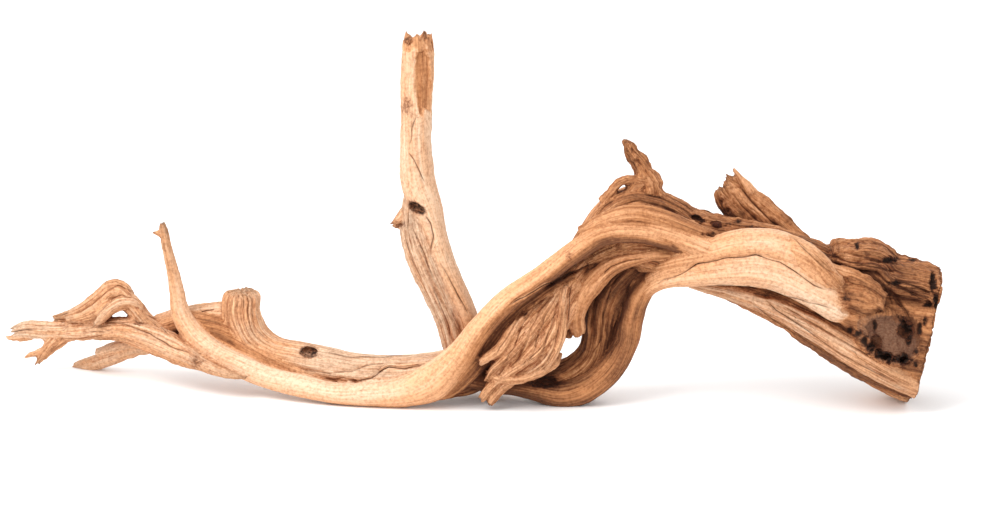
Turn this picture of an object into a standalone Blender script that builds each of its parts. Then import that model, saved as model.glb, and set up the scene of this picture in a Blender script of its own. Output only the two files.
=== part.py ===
"""A piece of driftwood: the trunk of an old vine, sawn at its thick end and twisted into an arch, a loop and
a long limb that ends in twigs.

The wood grew in strands that lie side by side and wind round each other. Each strand here is a run of oval
sections, from the sawn trunk towards the tips. The strands are fused into one solid, rot holes and hollows
are cut out, and the lowest spots are worn flat where the wood rests.

Strands are written in millimetres. X runs from the twigs to the sawn end, Y to the back and Z up.
"""

import math
from collections import namedtuple

import bmesh
import bpy
import numpy as np
from mathutils import Euler, Matrix, Vector

MM = 0.001
NAME = "driftwood"

# Driving values, in millimetres unless named otherwise
STATION_STEP = 4.0
SIDES = 32
FUSE_VOXEL = 2.1
CREASE_ROUNDS = 2
KEPT_SHARE = 0.064
FLOOR_LEVEL = 1.0
FLOOR_DEPTH = 40.0
SAW_POINT = (372.5, 0.0, 107.0)
SAW_LEAN_DEG = 12.0
ORIGIN = (-8.36, 28.48, 1.0)

# flutes: ridges round the strand; groove: their depth in mm; twist: degrees that they wind in 100 mm.
# A point is x, y, z, then the width seen from the front and the thickness from front to back.
# roll: degrees that the whole section is turned about its own line.
Strand = namedtuple("Strand", "flutes groove twist points roll", defaults=[0])

# A rot hole or hollow: an ellipsoid, with its widths in mm and its turn in degrees.
Hollow = namedtuple("Hollow", "centre widths turn")

STRANDS = {
    # Heartwood of the trunk, from the sawn face up to the crest
    "trunk": Strand(13, 2.2, 14, [
        (384, 4, 48, 104, 96), (343, 4, 60, 101, 94), (302, 4, 75, 86, 88), (280, 4, 88, 80, 84),
        (262, 3, 100, 77, 80), (225, 2, 115, 72, 72), (191, 0, 127, 62, 66), (158, -2, 135, 59, 60),
        (130, -4, 140, 52, 54), (106, -6, 134, 37, 44), (88, -8, 124, 24, 30),
    ]),
    # Weathered top of the trunk above the saw cut, broken off square towards the plate
    "shoulder": Strand(9, 2.5, 10, [
        (290, 0, 120, 30, 60), (303, 0, 119, 34, 66), (318, -1, 119, 36, 68), (331, -2, 109, 34, 70),
        (353, -2, 104, 33, 72), (384, -2, 95, 32, 70),
    ]),
    # Underside of the trunk, two strands that end at the saw cut
    "under": Strand(6, 1.6, 12, [
        (173, -10, 106, 12, 24), (203, -16, 101, 18, 28), (236, -22, 91, 22, 32), (270, -26, 75, 26, 34),
        (303, -28, 54, 27, 36), (336, -26, 33, 25, 36), (359, -22, 21, 22, 34), (372, -20, 14, 20, 32),
    ]),
    "keel": Strand(5, 1.6, 8, [
        (214, 0, 87, 10, 24), (250, 0, 71, 14, 34), (286, 4, 51, 17, 40), (323, 8, 24, 20, 44),
        (348, 12, 10, 20, 46), (374, 12, 5.5, 18, 44),
    ]),
    # Two pale bands on the front of the trunk, and the flake that lies over them
    "pale_top": Strand(4, 0.4, 6, [
        (158, -24, 125, 18, 22), (181, -30, 132, 22, 26), (207, -34, 140, 26, 28), (234, -37, 141, 27, 30),
        (258, -39, 133, 27, 30), (278, -40, 119, 22, 28), (295, -40, 104, 14, 22),
    ]),
    "pale_low": Strand(4, 0.4, 6, [
        (145, -10, 96, 11, 20), (155, -18, 108, 14, 24), (173, -26, 115, 19, 26), (199, -32, 119, 22, 28),
        (227, -36, 120, 24, 30), (254, -39, 111, 24, 30), (276, -40, 98, 22, 28), (295, -39, 86, 18, 24),
    ]),
    "flake": Strand(4, 0.6, 0, [
        (242, -34, 148, 13, 18), (262, -38, 138, 19, 20), (280, -41, 122, 18, 18), (296, -43, 108, 8, 12),
    ]),
    # The sawn stub of a side branch, long across, and the round boss where the pale bands end
    "stub": Strand(9, 1.2, 0, [
        (327, -14, 68, 62, 46), (327, -30, 68, 62, 44), (327, -42, 68, 60, 42), (327, -48, 68, 55, 37),
        (327, -50, 68, 46, 30),
    ], -32),
    "boss": Strand(5, 0.6, 0, [
        (298, -30, 98, 28, 26), (305, -38, 101, 33, 30), (311, -45, 104, 30, 28), (315, -49, 105, 20, 20),
    ]),
    # Weathered crest over the arch, with its snag and the small bent nub beside it
    "crown": Strand(11, 2.6, 12, [
        (80, -12, 131, 12, 22), (93, -8, 147, 16, 34), (106, -4, 160, 22, 44), (125, 0, 168, 26, 50),
        (149, 4, 162, 28, 54), (175, 8, 149, 23, 56), (199, 10, 142, 22, 54), (223, 12, 129, 20, 48),
    ]),
    "snag": Strand(5, 1.4, 40, [
        (142, 0, 168, 27, 26), (140, -1, 183, 21, 20), (134, -2, 196, 16, 15), (127, -3, 207, 12, 12),
        (122, -3, 214, 9, 9), (121, -3, 217, 7, 7),
    ]),
    "nub": Strand(3, 0.5, 0, [
        (107, -8, 167, 8, 12), (110, -9, 177, 7, 10), (117, -9, 187, 6, 8), (127, -8, 191, 6, 8),
        (135, -6, 186, 8, 10),
    ]),
    # The flat broken plate that stands up behind the trunk, and its one long tine
    "plate": Strand(7, 1.0, 0, [
        (268, 28, 114, 30, 28), (250, 30, 130, 34, 24), (233, 31, 145, 36, 19), (217, 32, 158, 34, 15),
        (206, 33, 171, 25, 12), (202, 33, 176, 16, 9),
    ]),
    "plate_tine": Strand(3, 0.3, 0, [
        (222, 31, 168, 13, 9), (216, 31, 178, 8, 7), (209, 31, 188, 3, 4),
    ]),
    # The pale rope that leaves the crest, runs down and along the floor, and rises into a twig
    "ridge": Strand(5, 0.7, 25, [
        (186, -24, 125, 11, 20), (157, -27, 137, 21, 26), (132, -28, 144, 24, 26), (103, -27, 141, 24, 26),
        (77, -25, 127, 22, 26), (53, -23, 110, 20, 26), (25, -21, 90, 19, 26), (4, -19, 67, 20, 26),
        (-12, -16, 44, 25, 28), (-32, -13, 24, 32, 28), (-55, -11, 14, 26, 26), (-84, -7, 11, 21, 24),
        (-112, -2, 10, 18, 22), (-141, 6, 14, 19, 20), (-170, 16, 19, 19, 20), (-197, 28, 28, 19, 20),
        (-218, 38, 38, 18, 18), (-232, 46, 50, 18, 17), (-240, 50, 64, 16, 15), (-243, 52, 82, 13, 13),
        (-247, 53, 103, 11, 11), (-251, 54, 121, 9, 9), (-253, 54, 133, 8, 8), (-254, 54, 138, 5, 5),
    ]),
    "twig_nub": Strand(3, 0.2, 0, [
        (-251, 54, 126, 6, 6), (-257, 54, 129, 6, 6), (-262, 54, 130, 4, 4),
    ]),
    "ridge_under": Strand(5, 1.2, 25, [
        (81, -15, 111, 11, 18), (57, -14, 97, 14, 20), (31, -12, 78, 18, 22), (11, -10, 56, 19, 24),
        (-2, -8, 34, 21, 26), (-19, -6, 17, 18, 24), (-43, -6, 10, 11, 18), (-66, -7, 7, 6, 9),
    ]),
    # The recessed wood between the rope and the loop
    "web": Strand(9, 1.8, 10, [
        (95, 0, 119, 30, 28), (76, 2, 100, 42, 26), (54, 5, 78, 46, 26), (31, 5, 54, 40, 26),
        (11, 5, 34, 35, 28), (-6, 4, 19, 27, 28), (-27, 2, 13, 19, 24),
    ]),
    # The loop: a smooth outer strand and a fluted inner one, down from the crest and back along the floor
    "leg_outer": Strand(6, 0.9, 20, [
        (190, -8, 121, 16, 26), (166, -8, 119.5, 17, 28), (145, -6, 108, 18, 30), (132, -4, 90, 20, 30),
        (126, -2, 71, 20, 30), (123, -1, 54, 21, 30), (115, 0, 37, 22, 32), (101, 0, 22, 24, 34),
        (86, 1, 13, 26, 36), (70, 1, 10, 25, 36), (53, 2, 13, 22, 32), (33, 3, 17, 21, 30),
        (13, 2, 20, 22, 30), (-10, 0, 26, 22, 30),
    ]),
    "leg_inner": Strand(9, 2.0, 20, [
        (146, 6, 120, 27, 36), (124, 9, 108, 32, 36), (108, 12, 87, 36, 34), (103, 14, 68, 33, 32),
        (101, 14, 53, 28, 32), (96, 13, 38, 27, 32), (84, 12, 26, 28, 32), (68, 11, 19, 28, 34),
        (49, 9, 15, 22, 30),
    ]),
    # The tongue that hangs from the crest over the gap, and the splintered panel beside it
    "tongue": Strand(4, 0.7, 15, [
        (157, -26, 133, 10, 14), (134, -27, 130, 11, 15), (111, -24, 122, 16, 16), (96, -20, 108, 19, 17),
        (86, -16, 92, 16, 17), (82, -13, 76, 14, 15), (83, -12, 66, 14, 13), (84, -11, 60, 11, 9),
    ]),
    "tongue_back": Strand(4, 0.7, 0, [
        (76, -6, 96, 14, 16), (74, -5, 82, 14, 14), (74, -5, 70, 14, 12), (75, -5, 61, 12, 10),
        (75, -5, 57, 7, 7),
    ]),
    "panel": Strand(9, 1.2, 0, [
        (91, -10, 120, 19, 20), (78, -14, 103, 26, 22), (65, -17, 85, 36, 22), (51, -19, 68, 44, 20),
        (38, -20, 52, 42, 20), (27, -20, 39, 30, 18), (18, -20, 27, 16, 14), (12, -19, 14, 8, 10),
    ]),
    "finger": Strand(3, 0.4, 0, [
        (62, -17, 99, 8, 12), (47, -22, 86, 10, 13), (31, -25, 69, 10, 13), (21, -26, 54, 10, 12),
        (12, -26, 47, 9, 11), (4, -26, 42, 7, 9),
    ]),
    "splinter_1": Strand(3, 0.5, 0, [
        (70, -19, 103, 10, 12), (57, -24, 83, 11, 12), (42, -26, 62, 10, 12), (27, -26, 46, 10, 12),
        (16, -25, 36, 8, 10), (10, -23, 27, 5, 7),
    ]),
    "splinter_2": Strand(3, 0.5, 0, [
        (74, -19, 100, 10, 12), (66, -24, 78, 11, 12), (55, -26, 57, 11, 12), (40, -26, 43, 10, 12),
        (27, -25, 34, 8, 10), (17, -23, 22, 6, 8), (9, -20, 9, 4, 5),
    ]),
    "splinter_3": Strand(3, 0.5, 0, [
        (74, -20, 105, 11, 14), (70, -24, 83, 12, 13), (67, -25, 62, 12, 12), (58, -24, 44, 11, 12),
        (45, -23, 33, 9, 11), (30, -22, 26, 8, 10), (18, -20, 14, 6, 8), (14, -19, 9, 4, 5),
    ]),
    "curl": Strand(4, 0.8, 30, [
        (66, -10, 39, 8, 14), (56, -15, 31, 11, 16), (42, -18, 25, 13, 16), (28, -19, 21, 12, 15),
        (16, -19, 14, 11, 12), (10, -18, 6, 8, 9),
    ]),
    # The upright branch behind the arch: a pale strand to the top and a weathered one beside its foot
    "upright_pale": Strand(5, 0.6, 20, [
        (1, 31, 41, 16, 24), (-5, 33, 65, 16, 26), (-14, 35, 86, 16, 26), (-24, 37, 109, 18, 26),
        (-31, 38, 132, 19, 28), (-38, 39, 154, 26, 30), (-45, 40, 176, 29, 30), (-47, 40, 202, 26, 28),
        (-46, 40, 234, 26, 27), (-45, 40, 267, 27, 27), (-45, 40, 286, 27, 26), (-45, 40, 296, 25, 24),
    ]),
    "upright_brown": Strand(10, 1.6, 8, [
        (38, 14, 15, 14, 20), (14, 22, 15, 23, 28), (-5, 29, 24, 27, 32), (-13, 33, 42, 28, 34),
        (-20, 36, 63, 25, 33), (-29, 38, 84, 27, 32),
        (-40, 39, 109, 29, 32), (-47, 40, 129, 27, 30), (-50, 40, 146, 22, 26), (-49, 40, 164, 15, 18),
    ]),
    "upright_bump": Strand(3, 0.4, 0, [
        (-35, 38, 98, 14, 18), (-40, 38, 91, 12, 14), (-44, 38, 87, 6, 7),
    ]),
    "upright_spur": Strand(3, 0.4, 0, [
        (-47, 40, 154, 20, 20), (-56, 40, 146, 16, 16), (-63, 40, 141, 10, 11), (-68, 40, 139, 4, 5),
    ]),
    # The long limb behind the rope, with its knob, and the back limb beyond it
    "limb": Strand(8, 1.6, 12, [
        (5, 10, 39, 24, 34), (-21, 10, 29, 28, 36), (-56, 10, 25, 28, 36), (-91, 14, 25, 29, 34),
        (-119, 22, 28, 29, 32), (-143, 31, 31, 27, 32), (-165, 40, 35, 23, 32), (-181, 46, 44, 26, 34),
        (-191, 52, 58, 28, 34), (-194, 55, 68, 25, 30), (-196, 56, 75, 17, 22),
    ]),
    "back_limb": Strand(6, 1.2, 10, [
        (-192, 60, 58, 24, 28), (-213, 66, 58, 21, 24), (-234, 70, 55, 19, 22), (-254, 72, 50, 18, 22),
        (-271, 72, 43, 16, 20),
    ]),
    # Dark wood at the back of the groove between the rope and the limb
    "groove_back": Strand(5, 1.0, 10, [
        (-240, 64, 48, 20, 18), (-209, 56, 46, 22, 18), (-187, 49, 37, 26, 20), (-167, 41, 30, 24, 20),
        (-147, 32, 22, 20, 20), (-128, 24, 18, 14, 18),
    ]),
    # The twig end: the low body, its forked tip, the high hook with a tine, and the low back branch
    "body": Strand(7, 1.3, 20, [
        (-184, 8, 20, 3, 5), (-201, 14, 22, 9, 12), (-223, 26, 28, 15, 18), (-244, 40, 35, 24, 24),
        (-266, 52, 42, 25, 26), (-287, 62, 46, 22, 24), (-309, 72, 43, 20, 21), (-326, 80, 40, 19, 19),
        (-342, 86, 38, 18, 17), (-359, 92, 37, 17, 15), (-373, 96, 37, 15, 13), (-384, 98, 34, 9, 9),
    ]),
    "tip_tine": Strand(3, 0.3, 0, [
        (-368, 95, 32, 8, 8), (-378, 97, 30, 7, 7), (-386, 98, 29, 6, 6), (-391, 99, 30, 4, 4),
    ]),
    "fork": Strand(4, 0.8, 0, [
        (-337, 84, 38, 16, 14), (-349, 87, 28, 14, 12), (-358, 90, 17, 9, 9), (-365, 93, 7, 4, 5),
    ]),
    "fork_tine": Strand(3, 0.3, 0, [
        (-353, 89, 22, 8, 8), (-361, 90, 19, 7, 6), (-370, 91, 16, 5, 5), (-374, 92, 14, 3, 4),
    ]),
    "hook": Strand(7, 1.2, 10, [
        (-252, 56, 40, 15, 22), (-271, 62, 54, 15, 22), (-283, 67, 67, 19, 22), (-294, 71, 75, 25, 22),
        (-308, 75, 66, 21, 20), (-322, 79, 57, 16, 16), (-335, 83, 52, 11, 11), (-349, 87, 49, 5, 6),
    ]),
    "hook_tine": Strand(4, 0.8, 0, [
        (-298, 68, 73, 14, 16), (-304, 66, 61, 12, 13), (-310, 63, 54, 8, 10), (-314, 61, 48, 3, 5),
    ]),
    "low_branch": Strand(5, 1.0, 10, [
        (-260, 64, 31, 11, 16), (-281, 79, 25, 14, 16), (-302, 92, 15, 15, 16), (-318, 102, 6, 13, 14),
        (-333, 110, -1, 7, 9),
    ]),
}

HOLLOWS = {
    "limb_hole": Hollow((-135, 17.5, 39), (12, 10, 9), (0, 8, 0)),
    "upright_hole": Hollow((-46.5, 27, 157), (15, 12, 7), (0, 25, 0)),
    "head_chip": Hollow((-35, 32, 298), (16, 16, 9), (0, 15, 0)),
    "crest_hole_1": Hollow((179, -9, 158), (11, 8, 6), (0, 12, 0)),
    "crest_hole_2": Hollow((190, -8, 155), (7, 8, 5), (0, 12, 0)),
    "shoulder_hole": Hollow((329, -16, 125), (14, 9, 6), (0, 20, 0)),
    "stub_rot_1": Hollow((343, -48, 77), (13, 18, 16), (0, 20, 0)),
    "stub_rot_2": Hollow((318, -50, 66), (7, 8, 9), (0, 0, 0)),
    "stub_rot_3": Hollow((326, -50, 54), (9, 8, 7), (0, 0, 0)),
    "stub_rot_4": Hollow((340, -49, 51), (8, 8, 6), (0, 0, 0)),
    "panel_cavity": Hollow((57, -10, 22), (26, 20, 10), (0, 0, 0)),
}


def smooth_run(points, step):
    """Rows along a smooth curve through the points, about a step apart."""
    points = np.array(points, float)
    gaps = np.linalg.norm(np.diff(points[:, :3], axis=0), axis=1)
    at = np.concatenate([[0.0], np.cumsum(np.sqrt(gaps))])
    slopes = np.gradient(points, at, axis=0)
    rows = []
    for i, gap in enumerate(gaps):
        span = at[i + 1] - at[i]
        count = max(2, round(gap / step))
        t = np.linspace(0, 1, count, endpoint=False)[:, None]
        rows.append(
            (2 * t**3 - 3 * t**2 + 1) * points[i]
            + (t**3 - 2 * t**2 + t) * span * slopes[i]
            + (3 * t**2 - 2 * t**3) * points[i + 1]
            + (t**3 - t**2) * span * slopes[i + 1]
        )
    rows.append(points[-1:])
    return np.concatenate(rows)


def section_axes(rows, roll):
    """For each row, the direction across the strand as seen from the front, and the one through it."""
    along = np.gradient(rows[:, :3], axis=0)
    along /= np.linalg.norm(along, axis=1, keepdims=True)
    across = np.cross(along, (0.0, 1.0, 0.0))
    end_on = np.linalg.norm(across, axis=1) < 0.35
    across[end_on] = (1.0, 0.0, 0.0)
    across -= along * (across * along).sum(axis=1, keepdims=True)
    across /= np.linalg.norm(across, axis=1, keepdims=True)
    through = np.cross(along, across)
    c, s = math.cos(math.radians(roll)), math.sin(math.radians(roll))
    return c * across + s * through, c * through - s * across


def sections_of(strand):
    """The strand's oval sections, as an array of rings of points in mm, with its flutes cut in."""
    rows = smooth_run(strand.points, STATION_STEP)
    across, through = section_axes(rows, strand.roll)
    steps = np.linalg.norm(np.diff(rows[:, :3], axis=0), axis=1)
    length = np.concatenate([[0.0], np.cumsum(steps)])[:, None]
    turn = np.radians(strand.twist * length / 100)
    angle = np.linspace(0, 2 * math.pi, SIDES, endpoint=False)[None, :]
    wind = angle + turn
    wave = 0.6 * np.cos(strand.flutes * wind) + 0.4 * np.cos((strand.flutes - 2) * wind + length / 23)
    half = np.maximum(rows[:, 3:] / 2, 0.4)
    groove = np.minimum(strand.groove, 0.12 * half.min(axis=1))[:, None]
    depth = groove * (0.5 - 0.5 * wave)
    x = np.cos(angle) * (half[:, :1] - depth)
    y = np.sin(angle) * (half[:, 1:] - depth)
    return rows[:, None, :3] + x[..., None] * across[:, None] + y[..., None] * through[:, None]


def add_loft(bm, rings):
    """Adds a closed tube through unlike sections to the mesh."""
    rings = (rings - ORIGIN) * MM
    loops = [[bm.verts.new(point) for point in ring] for ring in rings]
    faces = [bm.faces.new(loops[0]), bm.faces.new(loops[-1])]
    for low, high in zip(loops, loops[1:]):
        for i in range(SIDES):
            faces.append(bm.faces.new((low[i - 1], low[i], high[i], high[i - 1])))
    bmesh.ops.recalc_face_normals(bm, faces=faces)


def new_object(bm, name, collection):
    mesh = bpy.data.meshes.new(name)
    bm.to_mesh(mesh)
    bm.free()
    made = bpy.data.objects.new(name, mesh)
    collection.objects.link(made)
    return made


def placed(centre, widths, turn):
    """The matrix that gives a unit shape its widths, turn in degrees and place, all in strand millimetres."""
    move = Matrix.Translation((Vector(centre) - Vector(ORIGIN)) * MM)
    spin = Euler([math.radians(angle) for angle in turn]).to_matrix().to_4x4()
    return move @ spin @ Matrix.Diagonal([*(Vector(widths) * MM), 1.0])


def box_cutter(name, centre, widths, turn, collection):
    bm = bmesh.new()
    bmesh.ops.create_cube(bm, size=1.0, matrix=placed(centre, widths, turn))
    return new_object(bm, name, collection)


def hollow_cutter(name, hollow, collection):
    bm = bmesh.new()
    bmesh.ops.create_icosphere(bm, subdivisions=2, radius=0.5, matrix=placed(*hollow))
    return new_object(bm, name, collection)


def saw_cutter(collection):
    """A box whose near face is the saw cut."""
    lean = math.radians(SAW_LEAN_DEG)
    outward = Vector((math.cos(lean), 0.0, -math.sin(lean)))
    centre = Vector(SAW_POINT) + outward * 30
    return box_cutter("saw_cut", centre, (60, 220, 400), (0, SAW_LEAN_DEG, 0), collection)


def floor_cutter(collection):
    """A box whose top face is the surface that the wood rests on."""
    centre = (0, 40, FLOOR_LEVEL - FLOOR_DEPTH / 2)
    return box_cutter("floor_wear", centre, (900, 400, FLOOR_DEPTH), (0, 0, 0), collection)


def clear_scene():
    for old in list(bpy.data.objects):
        bpy.data.objects.remove(old)


def new_collection(name):
    made = bpy.data.collections.new(name)
    bpy.context.scene.collection.children.link(made)
    return made


def fused_strands(collection):
    """One object: every strand's loft, fused into a single skin with fewer faces."""
    bm = bmesh.new()
    for strand in STRANDS.values():
        add_loft(bm, sections_of(strand))
    wood = new_object(bm, NAME, collection)
    fuse = wood.modifiers.new("fuse strands", "REMESH")
    fuse.mode = "VOXEL"
    fuse.voxel_size = FUSE_VOXEL * MM
    soften = wood.modifiers.new("soften creases", "SMOOTH")
    soften.factor = 0.5
    soften.iterations = CREASE_ROUNDS
    fewer = wood.modifiers.new("fewer faces", "DECIMATE")
    fewer.ratio = KEPT_SHARE
    return wood


def cut(wood, cutter):
    take_out = wood.modifiers.new("cut " + cutter.name, "BOOLEAN")
    take_out.operation = "DIFFERENCE"
    take_out.solver = "EXACT"
    take_out.object = cutter


def wood_material():
    wood = bpy.data.materials.new("bleached vine wood")
    wood.use_nodes = True
    shader = wood.node_tree.nodes["Principled BSDF"]
    shader.inputs["Base Color"].default_value = (0.56, 0.33, 0.17, 1.0)
    shader.inputs["Roughness"].default_value = 0.8
    return wood


def main():
    clear_scene()
    parts = new_collection(NAME)
    cutters = new_collection("cutters")
    cutters.hide_render = True
    wood = fused_strands(parts)
    wood.data.materials.append(wood_material())
    for name, hollow in HOLLOWS.items():
        hollow_cutter(name, hollow, cutters)
    saw_cutter(cutters)
    floor_cutter(cutters)
    for cutter in cutters.objects:
        cutter.display_type = "WIRE"
        cut(wood, cutter)


if __name__ == "__main__":
    main()
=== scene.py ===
"""A piece of bleached vine driftwood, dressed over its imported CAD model.

The wood is grown from the CAD solid's strands and a few thinner ones, with its grain, grooves, cracks, knots
and frayed ends as real relief. It takes a weathered wood finish that follows the grain of each strand.
"""

import math
from collections import namedtuple

import bmesh
import bpy
import numpy as np
from bpy.props import FloatProperty, FloatVectorProperty, IntProperty, PointerProperty
from mathutils import Euler, Matrix, Vector, noise
from mathutils.bvhtree import BVHTree


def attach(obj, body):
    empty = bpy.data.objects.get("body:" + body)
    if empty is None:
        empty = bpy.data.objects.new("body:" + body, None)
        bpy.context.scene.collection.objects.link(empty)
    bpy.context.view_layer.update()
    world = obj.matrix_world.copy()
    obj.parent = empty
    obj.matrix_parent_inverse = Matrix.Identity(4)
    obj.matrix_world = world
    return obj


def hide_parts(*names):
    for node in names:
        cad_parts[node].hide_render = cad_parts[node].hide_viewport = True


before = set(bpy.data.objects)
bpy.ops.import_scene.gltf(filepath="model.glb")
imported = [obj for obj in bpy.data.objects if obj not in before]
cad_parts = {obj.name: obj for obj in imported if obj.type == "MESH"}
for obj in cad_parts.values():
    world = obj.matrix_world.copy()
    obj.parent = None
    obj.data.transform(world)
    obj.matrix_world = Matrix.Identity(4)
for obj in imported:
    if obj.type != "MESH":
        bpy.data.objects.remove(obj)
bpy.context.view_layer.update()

bl_info = {
    "name": "Piece of driftwood",
    "version": (1, 0, 0),
    "blender": (4, 5, 0),
    "location": "3D View > Sidebar > Driftwood",
    "description": "Grows a weathered vine branch over its CAD solid, and lays out a pale stage for it",
    "category": "Add Mesh",
}

NODE = "driftwood"
MM = 0.001

# Vertices nearer to each other than this, in m, are one
SAME_PLACE = 1e-7

# Strands and hollows are given in mm in the design's own frame. Less ORIGIN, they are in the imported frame.
ORIGIN = np.array((-8.36, 28.48, 1.0))

# The saw cut: a point on it, how far its plane leans from upright, the pith that its rings go round, the mm
# over which its looks give way to the skin's, and its tone
SAW_POINT = (372.5, 0.0, 107.0)
SAW_LEAN_DEG = 12.0
PITH = (384.0, 4.0, 58.0)
SAW_EDGE = 1.2
SAWN_TONE = 0.95

# How a strand is built: corners of a section, mm between sections, its thinnest half width in mm, the
# largest share of its half width that a flute may take, and the sine of its angle to the y axis under which
# it counts as seen from its end
SIDES = 40
STATION_STEP = 2.5
THINNEST_HALF = 0.4
DEEPEST_FLUTE = 0.12
END_ON = 0.35

# How strands share the skin, in mm: how far round its sections a strand's box reaches, how far outside the
# strand its looks still count, how far inside it they stop gaining weight, the depth over which one fades
# into the next, and how far the grain of one lies from the grain of the next
BOX_MARGIN = 5.0
STRAND_REACH = 6.0
STRAND_CORE = 4.0
STRAND_FADE = 1.1
GRAIN_SHIFT = 211.7

# Relief, in mm: the most that a crease between strands is filled, how high over the floor the relief begins,
# and over how many more mm it grows to its full height
MOST_FILL = 4.0
RELIEF_FROM = 0.3
RELIEF_RISE = 1.5

# Marks: how many mm of the wood beside a crack are darkened, how many pixels cracks and outlines wander, how
# many of its half widths a pit reaches, over how many pixels a patch's edge slopes, and how far a place has
# to face the camera
CRACK_REACH = 5.0
CRACK_WANDER = 1.2
OUTLINE_WANDER = 0.8
PIT_REACH = 2.2
PATCH_EDGE = 1.2
LEAST_FACING = 0.05

# Shelter: how many mm off wood still hides a place, the number of rays that look for it, how many mm over
# the skin they start, how little they may rise from it, how much more those from above count, and how far
# the pale floor hides a place
SHELTER_REACH = 55.0
RAYS = 48
RAY_START = 0.6
GRAZING = 0.12
FROM_ABOVE = 0.35
FLOOR_HIDES = 0.3

# The group of vertices where the triangles stay small
FINE = "keep fine"

# The frame of the photograph, in pixels, and the camera that it was taken with
FRAME_SIZE = (1000, 511)
AIM = (29.36, -28.48, 123.0)
FOCAL_PX = 3750.0

# The lights: place in m, size in m and colour
KEY_LIGHT = ((-1.15, -1.0, 1.9), 1.6, (1.0, 0.99, 0.98))
FILL_LIGHT = ((1.6, -2.2, 1.4), 2.4, (1.0, 1.0, 1.0))

# What the finish multiplies the wood's colour by
CHECK_STAIN = (0.46, 0.21, 0.09, 1)
FIBRE_STAIN = (0.56, 0.28, 0.12, 1)
FLECK_STAIN = (0.5, 0.28, 0.14, 1)
# The shelter stain is painted shade in hidden places, with some real weathering there
SHELTER_SHADE_STAIN = (0.45, 0.2, 0.08, 1)
# The dirt stain is grime and painted shade in grooves and creases
DIRT_AND_SHADE_STAIN = (0.42, 0.18, 0.07, 1)
ROT_STAIN = (0.3, 0.13, 0.06, 1)

# What it covers the wood's colour with: the two colours of the end grain's rings, and the bottom of a crack
RING_LIGHT = (0.27, 0.145, 0.088, 1)
RING_DARK = (0.09, 0.04, 0.026, 1)
CRACK_COLOUR = (0.055, 0.02, 0.008, 1)

# The tone at the dark end of the colour ramp, and where tan and brown lie on it
DARKEST_TONE = 1.2
TAN_AT, BROWN_AT = 0.36, 0.68

# flutes: ridges round the strand; groove: their depth in mm; twist: degrees that they wind in 100 mm.
# A point is x, y, z, then the width seen from the front and the thickness from front to back, in mm.
# roll: degrees that the whole section is turned about its own line.
Strand = namedtuple("Strand", "flutes groove twist points roll", defaults=[0])

# A rot hole or hollow: an ellipsoid, with its widths in mm, its turn in degrees and how dark it is inside.
Hollow = namedtuple("Hollow", "centre widths turn shade", defaults=[1.0])

# tone: 0 is bleached cream and 1.2 dark red-brown.
# wear: how deep the weather has cut the grain, from 0 to 1; pitch: mm from one groove to the next.
# melt: how far the creases beside the strand have grown together, from 0 to 1.
# rough: height of lumps in mm. Several values are spaced evenly along the strand.
Finish = namedtuple("Finish", "tone wear pitch melt rough", defaults=[0.8, 0.2])

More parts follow.
